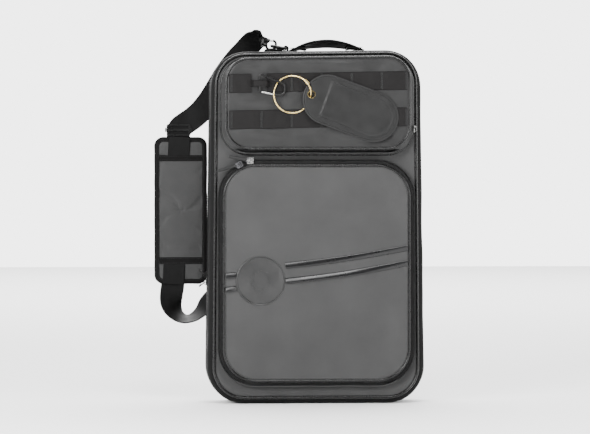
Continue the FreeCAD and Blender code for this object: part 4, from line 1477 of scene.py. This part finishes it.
@dataclass(frozen=True)
class KeyFob:
    """The snap hook, the twisted cable ring and the stitched leather fob."""

    repeater: Repeater
    radius: float = 34.0
    strands: int = 6

    def make(self, frame: dict) -> None:
        """Builds the hook, ring and fob.
        """
        dress("snap_hook_body", BLACK_METAL, frame)
        dress("snap_hook_gate", GATE_METAL, frame)
        dress("ring_ferrule", BRASS, frame, 0.25)
        dress("fob_eyelet", BRASS, frame, 0.25)
        self.ring()
        self.leaves()

    def ring(self) -> None:
        """Builds the springy cable, which bends through the eyelet."""
        low, high = extent("cable_ring")
        wire = 1.15
        x, z = float(low[0] + high[0]) / 2.0, float(low[2] + high[2]) / 2.0
        reach = float(high[2] - low[2]) / 2.0 - wire
        route = [(12, -68.3), (30, -69.3), (52, -69.3), (75, -65.0), (100, -62.0), (126, -61.6),
                 (150, -63.6), (176, -66.2), (203, -66.2), (230, -63.6), (256, -61.7),
                 (282, -61.0), (308, -60.9), (332, -60.9), (348, -61.7)]
        stations = np.array([(x + reach * math.cos(math.radians(turn)), y,
                              z + reach * math.sin(math.radians(turn))) for turn, y in route])
        line = smooth_line(stations, 0.5, closed=True)
        build("ring_cable", [tube(line, wire, closed=True, sides=24, strands=self.strands,
                                  pitch=13.2)],
              BRASS, "key_ring", ("cable_ring",), sharp=80.0)

    def leaves(self) -> None:
        """Builds the fob's two leather leaves and their edge stitching."""
        low, high = extent("fob_front_leaf")
        eye_low, eye_high = extent("fob_eyelet")
        eye = (float(eye_low[0] + eye_high[0]) / 2.0, float(eye_low[2] + eye_high[2]) / 2.0)
        hole = float(eye_high[2] - eye_low[2]) / 2.0 - 0.4
        y_eye = float(eye_low[1] + eye_high[1]) / 2.0
        lean, thick, back_thick, joint = 0.030, 1.5, 0.9, 0.03
        start = np.array((float(low[0]) + self.radius, float(high[2]) - self.radius))
        end = np.array((float(high[0]) - self.radius, float(low[2]) + self.radius))
        capsule = self.capsule(start, end)
        way = (end - start) / np.linalg.norm(end - start)
        side = np.array((-way[1], way[0]))
        for name, deep, node in (("front", thick, "fob_front_leaf"),
                                 ("back", back_thick, "fob_back_leaf")):
            patch = pillow(capsule, 0.0, -joint, self.leaf_relief(-deep, start, end, way, side,
                                                                 name == "front"),
                           rings=70, hole=(eye[0], eye[1], hole), ease=0.45)
            if name == "back":
                patch.points[:, 1] *= -1.0
            patch.points[:, 1] += y_eye + lean * (patch.points[:, 0] - eye[0])
            build("fob_leaf_" + name, [patch], LEATHER, "fob", (node,))
        seams = []
        edge = capsule.loop(2.8)
        edge[:, 1] = y_eye - thick - 0.05 + lean * (edge[:, 0] - eye[0])
        seams.append((edge, True))
        inner = capsule.loop(10.5)
        inner = open_run(inner, (inner[:, [0, 2]] - start) @ way > -2.0)
        inner[:, 1] = y_eye - thick - 0.55 + lean * (inner[:, 0] - eye[0])
        seams.append((inner, False))
        self.repeater.along("stitches_fob", seams, stitch(2.0, 0.5), 2.9, FRONT, THREAD, "fob",
                            "leather")

    def capsule(self, start: np.ndarray, end: np.ndarray) -> Outline:
        """Draws the fob's outline.

        Args:
            start: Middle of the round end with the eyelet.
            end: Middle of the other round end.

        Returns:
            The outline.
        """
        # The polygon only makes the outline; the capsule's own points take its place below.
        outline = Outline([(0.0, 0.0), (100.0, 0.0), (100.0, 100.0), (0.0, 100.0)], 20.0)
        way = (end - start) / np.linalg.norm(end - start)
        side = np.array((-way[1], way[0]))
        turns = np.linspace(math.pi / 2.0, 1.5 * math.pi, 64)
        first = [start + (way * math.cos(t) + side * math.sin(t)) * self.radius for t in turns]
        last = [end - (way * math.cos(t) + side * math.sin(t)) * self.radius for t in turns]
        runs = [start - side * self.radius + (end - start) * s for s in np.linspace(0, 1, 22)[1:-1]]
        back = [end + side * self.radius + (start - end) * s for s in np.linspace(0, 1, 22)[1:-1]]
        outline.points = np.array(first + runs + last + back)
        line = directions(outline.points, True)
        outline.normals = np.stack([line[:, 1], -line[:, 0]], -1)
        return outline

    def leaf_relief(self, face: float, start: np.ndarray, end: np.ndarray, way: np.ndarray,
                    side: np.ndarray, pocket: bool) -> Relief:
        """The front of one leather leaf.

        Args:
            face: Depth of the leaf's face.
            start: Middle of the round end with the eyelet.
            end: Middle of the other round end.
            way: Direction from one end to the other.
            side: Direction across the leaf.
            pocket: Whether the leaf carries the raised inner piece.

        Returns:
            The relief.
        """
        return LeafRelief(face, 0.0, (0.0, 0.0), (1.0, 1.0), start=tuple(start), end=tuple(end),
                          way=tuple(way), side=tuple(side), radius=self.radius, pocket=pocket)


@dataclass(frozen=True)
class LeafRelief(Relief):
    """The front of a leather leaf: rolled edge, pressed seam and raised inner piece."""

    start: tuple[float, float] = (0.0, 0.0)
    end: tuple[float, float] = (1.0, 0.0)
    way: tuple[float, float] = (1.0, 0.0)
    side: tuple[float, float] = (0.0, 1.0)
    radius: float = 34.0
    pocket: bool = True

    def depth(self, flat: np.ndarray) -> np.ndarray:
        """The depth of the leaf's face.

        Args:
            flat: Points (x, z), one row each.

        Returns:
            One y for each point.
        """
        start, way = np.array(self.start), np.array(self.way)
        length = float(np.linalg.norm(np.array(self.end) - start))
        there = (flat - start) @ way
        aside = (flat - start) @ np.array(self.side)
        beyond = there - np.clip(there, 0.0, length)
        inside = self.radius - np.hypot(beyond, aside)
        roll = 0.55 * np.exp(-(inside / 1.1) ** 2)
        seam = 0.34 * np.exp(-((inside - 2.8) / 0.9) ** 2)
        raised = np.zeros(len(flat))
        if self.pocket:
            step = np.clip((inside - 8.6) / 0.7, 0.0, 1.0) * np.clip((there + 3.0) / 0.9, 0.0, 1.0)
            raised = 0.8 * step + 0.4 * np.clip((inside - 9.0) / 14.0, 0.0, 1.0) * step
            raised -= 0.2 * np.exp(-((inside - 10.5) / 0.8) ** 2) * step
        soft = Ripple(38.0, 0.12, 83).at(flat)
        return self.y + roll + seam - raised - soft


# ---- shoulder strap, pad and hardware ----------------------------------------------------

@dataclass(frozen=True)
class RingTabs:
    """The two D-rings with the webbing tabs that hold them, and their swivel hooks."""

    repeater: Repeater
    width: float = 25.0
    thick: float = 1.6
    bar_up: float = 4.2

    def make(self, frame: dict) -> None:
        """Builds the tabs and gives the metal its finish.
        """
        for prefix in ("top", "low"):
            dress(prefix + "_d_ring", BLACK_METAL, frame)
            dress(prefix + "_hook_gate", GATE_METAL, frame)
            self.tab(prefix)

    def tab(self, prefix: str) -> None:
        """Builds one tab: a flat run that rolls round the ring's bar and comes back.

        Args:
            prefix: Which tab, as the frame's node names it.
        """
        low, high = extent(prefix + "_ring_tab")
        upright = prefix == "top"
        middle = (low + high) / 2.0
        along = np.array((1.0, 0.0, 0.0))
        up = np.array((0.0, 0.0, 1.0)) if upright else np.array((0.0, 1.0, 0.0))
        aside = np.cross(up, along)
        base = float(low[2]) if upright else float(low[1])
        origin = along * (float(high[0]) - self.bar_up) + up * base
        origin += (np.array((0.0, middle[1], 0.0)) if upright else np.array((0.0, 0.0, middle[2])))
        deep = self.thick / 2.0
        path = [(-29.0, deep), (-18.0, deep), (-7.0, deep)]
        reach = self.bar_up - deep
        path += [(reach * math.sin(t), self.bar_up - reach * math.cos(t))
                 for t in np.linspace(0.0, math.pi * 1.12, 10)]
        path += [(-5.0, 3.4 * deep), (-10.0, 3.1 * deep), (-28.0, 3.1 * deep)]
        stations = [tuple(origin + along * a + up * b) + tuple(aside) for a, b in path]
        build(prefix + "_tab_loop", [ribbon(stations, self.width, self.thick, 1.2)], STRAP, "case",
              (prefix + "_ring_tab",))
        half = self.width / 2.0 - 2.5
        corners = [(-26.0, -half), (-10.0, -half), (-10.0, half), (-26.0, half)]
        ring = [origin + along * a + aside * b + up * (4.3 * deep) for a, b in corners]
        seams = [(np.array(ring), True), (np.array([ring[0], ring[2]]), False),
                 (np.array([ring[1], ring[3]]), False)]
        self.repeater.along("stitches_tab_" + prefix, seams, stitch(), CROSS_PITCH, tuple(up),
                            THREAD, "case", "strap_webbing")


@dataclass(frozen=True)
class ShoulderStrap:
    """The webbing strap, its length adjuster and the padded shoulder piece."""

    repeater: Repeater
    width: float = 32.0
    thick: float = 1.8

    def make(self, frame: dict) -> None:
        """Builds the strap and the pad.
        """
        self.webbing()
        dress("strap_adjuster", BLACK_METAL, frame, 0.5)
        self.pad()

    def webbing(self) -> None:
        """Builds the strap's runs: over the top hook, down through the pad and to the low hook."""
        slide_low, slide_high = extent("strap_adjuster")
        y = float(slide_low[1] + slide_high[1]) / 2.0
        hook_low, hook_high = extent("top_hook_body")
        bar_x, bar_z = float(hook_low[0]) + 1.5, float(hook_high[2]) - 1.5
        mid_y = float(hook_low[1] + hook_high[1]) / 2.0
        top = float(extent("strap_webbing")[1][2])
        eye = [(bar_x + 2.6 * math.cos(t), mid_y, bar_z + 2.6 * math.sin(t), 0.0, 1.0, 0.0)
               for t in np.linspace(0.35 * math.pi, 2.65 * math.pi, 12, endpoint=False)]
        upper = [(bar_x + 1.5, mid_y, bar_z + 3.0, 0.0, 1.0, 0.0),
                 (bar_x - 0.5, mid_y + 4.0, top - 6.2, 0.25, 0.92, -0.15),
                 (bar_x - 3.5, mid_y + 11.0, top - 6.6, 0.62, 0.62, -0.42),
                 (bar_x - 8.5, mid_y + 19.5, top - 10.0, 0.78, 0.28, -0.52),
                 (bar_x - 15.5, mid_y + 26.5, top - 17.5, 0.80, 0.10, -0.58),
                 (bar_x - 23.5, y - 1.5, top - 26.5, 0.80, 0.04, -0.60),
                 (-103.0, y, 471.0, 0.80, 0.0, -0.60), (-115.5, y, 455.0, 0.81, 0.0, -0.585),
                 (-127.0, y, 437.0, 0.84, 0.0, -0.54), (-139.5, y, 416.5, 0.80, 0.0, -0.60),
                 (-152.0, y, 400.0, 0.70, 0.0, -0.71), (-163.0, y, 389.5, 0.72, -0.05, -0.69),
                 (-175.0, y - 0.3, 381.0, 0.88, 0.0, -0.47), (-183.0, y, 374.5, 0.99, 0.0, -0.12),
                 (-184.6, y, 366.0, 1.0, 0.0, 0.0), (-185.2, y, 352.0, 1.0, 0.0, 0.0),
                 (-187.5, y, 300.0, 1.0, 0.0, 0.0), (-191.0, y, 200.0, 1.0, 0.0, 0.0),
                 (-192.6, y, 160.0, 1.0, 0.0, 0.02), (-194.3, y, 146.0, 0.99, 0.1, 0.04),
                 (-194.8, y, 134.5, 0.94, 0.3, 0.12), (-191.5, y, 123.5, 0.72, 0.62, 0.32),
                 (-184.0, y - 0.5, 114.8, 0.40, 0.86, 0.34), (-173.5, y, 110.6, 0.12, 0.95, 0.30),
                 (-163.0, y, 113.6, -0.12, 0.94, 0.33), (-154.0, y, 121.0, -0.20, 0.86, 0.47),
                 (-145.0, y + 0.5, 130.0, -0.15, 0.55, 0.82), (-134.0, y + 0.5, 138.5, 0.0, 0.2, 0.98),
                 (-122.0, y + 0.5, 143.5, 0.0, 0.0, 1.0), (-113.5, y + 0.5, 145.0, 0.0, 0.0, 1.0)]
        build("strap_run", [ribbon(upper, self.width, self.thick, 2.0,
                                   ripple=Ripple(38.0, 0.16, 91)),
                            ribbon(eye, self.width, self.thick, 0.8)],
              STRAP, "case", ("strap_webbing",))

    def pad(self) -> None:
        """Builds the padded shoulder piece: cloth core, bound edge, cross bands and seams."""
        low, high = extent("pad_binding")
        core_low, core_high = extent("shoulder_pad")
        outline = Outline([(low[0], low[2]), (high[0], low[2]), (high[0], high[2]),
                           (low[0], high[2])], 13.0, turns=10)
        centre = (float(low[0] + high[0]) / 2.0, float(low[2] + high[2]) / 2.0)
        reach = (float(high[0] - low[0]) / 2.0, float(high[2] - low[2]) / 2.0)
        relief = Relief(float(core_low[1]) + 0.4, 0.5, centre, reach, (Ripple(45.0, 0.25, 95),))
        front = pillow(outline, 5.2, float(core_low[1]) + 2.8, relief, rings=26, ease=0.8)
        back_relief = Relief(-float(core_high[1]) + 0.4, 0.5, centre, reach,
                             (Ripple(45.0, 0.25, 96),))
        back = pillow(outline, 5.2, -float(core_high[1]) + 2.8, back_relief, rings=26, ease=0.8)
        back.points[:, 1] *= -1.0
        face = build("pad_face", [front], PAD_CLOTH)
        rear = build("pad_back", [back], PAD_CLOTH)
        edges = (float(core_low[1]), float(core_high[1]))
        for made in (face, rear):
            puff_up(made, outline, cap=0.45)
            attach(made, "pad")
        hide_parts("shoulder_pad")
        rows = []
        for side, skin in ((1.0, edges[0]), (-1.0, edges[1])):
            section = [(0.2, skin + side * 3.4), (0.0, skin + side * 1.6), (0.9, skin + side * 0.4),
                       (2.6, skin - side * 0.35), (5.0, skin - side * 0.5), (6.7, skin - side * 0.2),
                       (7.0, skin + side * 0.5), (6.2, skin + side * 1.5), (3.0, skin + side * 2.6)]
            rows.append(girdle(outline, section, ripple=Ripple(22.0, 0.22, 97)))
        build("pad_edge_tape", rows, BINDING, "pad", ("pad_binding",))
        wall = girdle(outline, [(0.5, edges[0] + 2.6), (0.5, edges[0] + 3.4), (1.4, edges[0] + 3.4),
                                (1.4, edges[0] + 2.6)])
        build("pad_core_edge", [wall], BINDING, "pad", ())
        self.repeater.along("stitches_pad_binding", [(outline.loop(5.6, edges[0] - 0.7), True)],
                            stitch(*FINE_STITCH), BAND_PITCH, FRONT, THREAD, "pad", "binding")
        band_low, band_high = extent("pad_cross_bands")
        bands, seams = [], []
        for z_low, z_high in ((float(band_low[2]), float(band_low[2]) + 9.0),
                              (float(band_high[2]) - 8.0, float(band_high[2]))):
            z = (z_low + z_high) / 2.0
            y = edges[0] - 0.75
            flat = [(x, y - 0.5 * (1 - ((x - centre[0]) / reach[0]) ** 2), z, 0.0, 0.0, 1.0)
                    for x in np.linspace(band_low[0], band_high[0], 14)]
            bands.append(ribbon(flat, z_high - z_low, 0.9, ripple=Ripple(12.0, 0.1, 98)))
            for edge in (z_low + 1.4, z_high - 1.4):
                seams.append((np.array([(x, y - 1.1, edge) for x in
                                        np.linspace(band_low[0] + 1, band_high[0] - 1, 12)]), False))
        tongues = []
        upper_end = (-183.2, -184.6, float(high[2]) - 0.5, float(band_high[2]) - 4.0)
        lower_end = (-190.4, -191.6, float(band_low[2]) + 4.0, float(low[2]) + 0.5)
        for x_top, x_low, z_top, z_low in (upper_end, lower_end):
            flat = [(x_top + (x_low - x_top) * t, edges[0] - 0.55 - 0.9 * math.sin(math.pi * t),
                     z_top + (z_low - z_top) * t, 1.0, 0.0, 0.0) for t in np.linspace(0.0, 1.0, 6)]
            tongues.append(ribbon(flat, 30.0, 1.3, ripple=Ripple(20.0, 0.1, 99)))
        build("pad_webbing_ends", tongues, STRAP, "pad", ())
        build("pad_bands", bands, BINDING, "pad", ("pad_cross_bands",))
        self.repeater.along("stitches_pad_bands", seams, stitch(*FINE_STITCH), BAND_PITCH, FRONT,
                            THREAD, "pad", "binding")


def puff_up(made: bpy.types.Object, outline: Outline, cap: float) -> None:
    """Lets cloth settle under a light pressure with its edge held, then keeps the result.

    Args:
        made: The piece, closed and flat.
        outline: The outline whose edge is held.
        cap: Largest movement kept, in millimetres.
    """
    mesh = made.data
    smooth = mesh.copy()
    before = np.array([v.co for v in mesh.vertices], float)
    edge = outline.loop(5.2)[:, [0, 2]] * MM
    flat = before[:, [0, 2]]
    held = [index for index, point in enumerate(flat)
            if float(np.min(np.linalg.norm(edge - point, axis=1))) < 2.2 * MM]
    group = made.vertex_groups.new(name="held")
    group.add(held, 1.0, "REPLACE")
    cloth = made.modifiers.new("cloth", "CLOTH")
    settings = cloth.settings
    settings.quality = 4
    settings.mass = 0.25
    settings.tension_stiffness = 25.0
    settings.compression_stiffness = 25.0
    settings.bending_stiffness = 1.5
    settings.use_pressure = True
    settings.uniform_pressure_force = 4.0
    settings.shrink_min = -0.01
    settings.vertex_group_mass = "held"
    settings.effector_weights.gravity = 0.0
    cloth.point_cache.frame_start = 1
    cloth.point_cache.frame_end = 20
    scene = bpy.context.scene
    for frame_number in range(1, 21):
        scene.frame_set(frame_number)
    graph = bpy.context.evaluated_depsgraph_get()
    result = made.evaluated_get(graph).to_mesh()
    after = np.array([v.co for v in result.vertices], float)
    made.evaluated_get(graph).to_mesh_clear()
    made.modifiers.clear()
    made.vertex_groups.clear()
    scene.frame_set(1)
    shift = after - before
    size = np.linalg.norm(shift, axis=1, keepdims=True)
    shift *= np.minimum(1.0, cap * MM / np.maximum(size, 1e-9))
    smooth.vertices.foreach_set("co", (before + shift).astype(np.float32).ravel())
    smooth.update()
    made.data = smooth
    LOG.info("%s settled, largest movement %.2f mm", made.name, float(size.max()) / MM)


# ---- main zip sliders, studio and camera ---------------------------------------------------

def dress_fittings(frame: dict) -> None:
    """Gives the remaining metal fittings their finish.
    """
    for side in ("upper", "lower"):
        dress("main_slider_" + side, BLACK_METAL, frame, 0.3)
        dress("main_pull_" + side, BLACK_METAL, frame, 0.3)


@dataclass(frozen=True)
class Studio:
    """A pale floor, soft lights and the camera."""

    target: tuple[float, float, float] = (-29.7, -50.0, 253.0)
    wide: float = 796.5
    lens: float = 180.0
    sensor: float = 36.0
    azimuth: float = -3.5
    elevation: float = 0.8
    room: float = 0.13
    wall: float = 4.5

    def make(self) -> None:
        """Builds the floor, the lights, the surroundings and the camera."""
        self.floor()
        self.light("key", (-1300.0, -1800.0, 1000.0), 1000.0, 88.0, self.target)
        self.light("fill", (1800.0, -1500.0, 700.0), 1200.0, 40.0, self.target)
        self.light("crown", (100.0, -1300.0, 1800.0), 800.0, 38.0, self.target)
        self.light("far", (0.0, 3800.0, 2600.0), 3200.0, 230.0, (0.0, 3800.0, 0.0))
        self.surroundings()
        self.camera()

    def surroundings(self) -> None:
        """Builds the pale surroundings, brighter behind the bag than in front of it."""
        world = bpy.data.worlds.new("pale_surroundings")
        world.use_nodes = True
        tree = world.node_tree
        tree.nodes.clear()
        way = add_node(tree, "ShaderNodeTexCoord").outputs["Generated"]
        parts = add_node(tree, "ShaderNodeSeparateXYZ", {"Vector": way})
        strength = add_node(tree, "ShaderNodeMapRange",
                            {"Value": parts.outputs["Y"], "From Min": -0.25, "From Max": 0.55,
                             "To Min": self.room, "To Max": self.wall})
        sky = add_node(tree, "ShaderNodeBackground",
                       {"Color": linear("#fdfdfd"), "Strength": strength.outputs["Result"]})
        add_node(tree, "ShaderNodeOutputWorld", {"Surface": sky.outputs["Background"]})
        bpy.context.scene.world = world

    def floor(self) -> None:
        """Builds the pale floor."""
        size, level = 6000.0 * MM, -0.0008
        mesh = bpy.data.meshes.new("studio_floor")
        mesh.from_pydata([(-size, -size, level), (size, -size, level), (size, size, level),
                          (-size, size, level)], [], [(0, 1, 2, 3)])
        floor = bpy.data.objects.new("studio_floor", mesh)
        paper = bpy.data.materials.new("pale_paper")
        paper.use_nodes = True
        shader = paper.node_tree.nodes["Principled BSDF"]
        shader.inputs["Base Color"].default_value = linear("#f4f4f4")
        shader.inputs["Roughness"].default_value = 0.9
        mesh.materials.append(paper)
        bpy.context.scene.collection.objects.link(floor)

    def light(self, name: str, place: tuple[float, float, float], size: float, power: float,
              aim: tuple[float, float, float]) -> None:
        """Adds one soft light.

        Args:
            name: The light's name.
            place: Where it stands, in millimetres.
            size: Its width and height, in millimetres.
            power: Its power in watts.
            aim: The point it faces, in millimetres.
        """
        lamp = bpy.data.lights.new(name, "AREA")
        lamp.shape = "SQUARE"
        lamp.size = size * MM
        lamp.energy = power
        made = bpy.data.objects.new(name, lamp)
        made.location = Vector(place) * MM
        way = Vector(aim) * MM - made.location
        made.rotation_euler = way.to_track_quat("-Z", "Y").to_euler()
        bpy.context.scene.collection.objects.link(made)

    def camera(self) -> None:
        """Adds the camera, which looks at the bag's front."""
        data = bpy.data.cameras.new("camera")
        data.lens = self.lens
        data.sensor_width = self.sensor
        data.clip_end = 200.0
        distance = self.wide * self.lens / self.sensor
        turn, rise = math.radians(self.azimuth), math.radians(self.elevation)
        back = Vector((math.sin(turn) * math.cos(rise), -math.cos(turn) * math.cos(rise),
                       math.sin(rise)))
        made = bpy.data.objects.new("camera", data)
        made.location = (Vector(self.target) + back * distance) * MM
        made.rotation_euler = (-back).to_track_quat("-Z", "Y").to_euler()
        bpy.context.scene.collection.objects.link(made)
        bpy.context.scene.camera = made


def main() -> None:
    """Builds the bag, piece by piece, and its studio."""
    logging.basicConfig(level=logging.INFO, format="%(message)s")
    bpy.ops.wm.read_factory_settings(use_empty=True)
    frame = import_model()
    repeater = Repeater()
    shape = BagShape.from_frame()
    assemblies = (RearHalf(shape, repeater), FrontHalf(shape, repeater),
                  LowerPocket(shape, repeater), UpperPocket(shape, repeater), KeyFob(repeater),
                  RingTabs(repeater), ShoulderStrap(repeater))
    for assembly in assemblies:
        before = set(bpy.data.objects.keys())
        assembly.make(frame)
        for name in sorted(set(bpy.data.objects.keys()) - before):
            LOG.info("%s built %s", type(assembly).__name__, name)
    dress_fittings(frame)
    Studio().make()


if __name__ == "__main__":
    main()
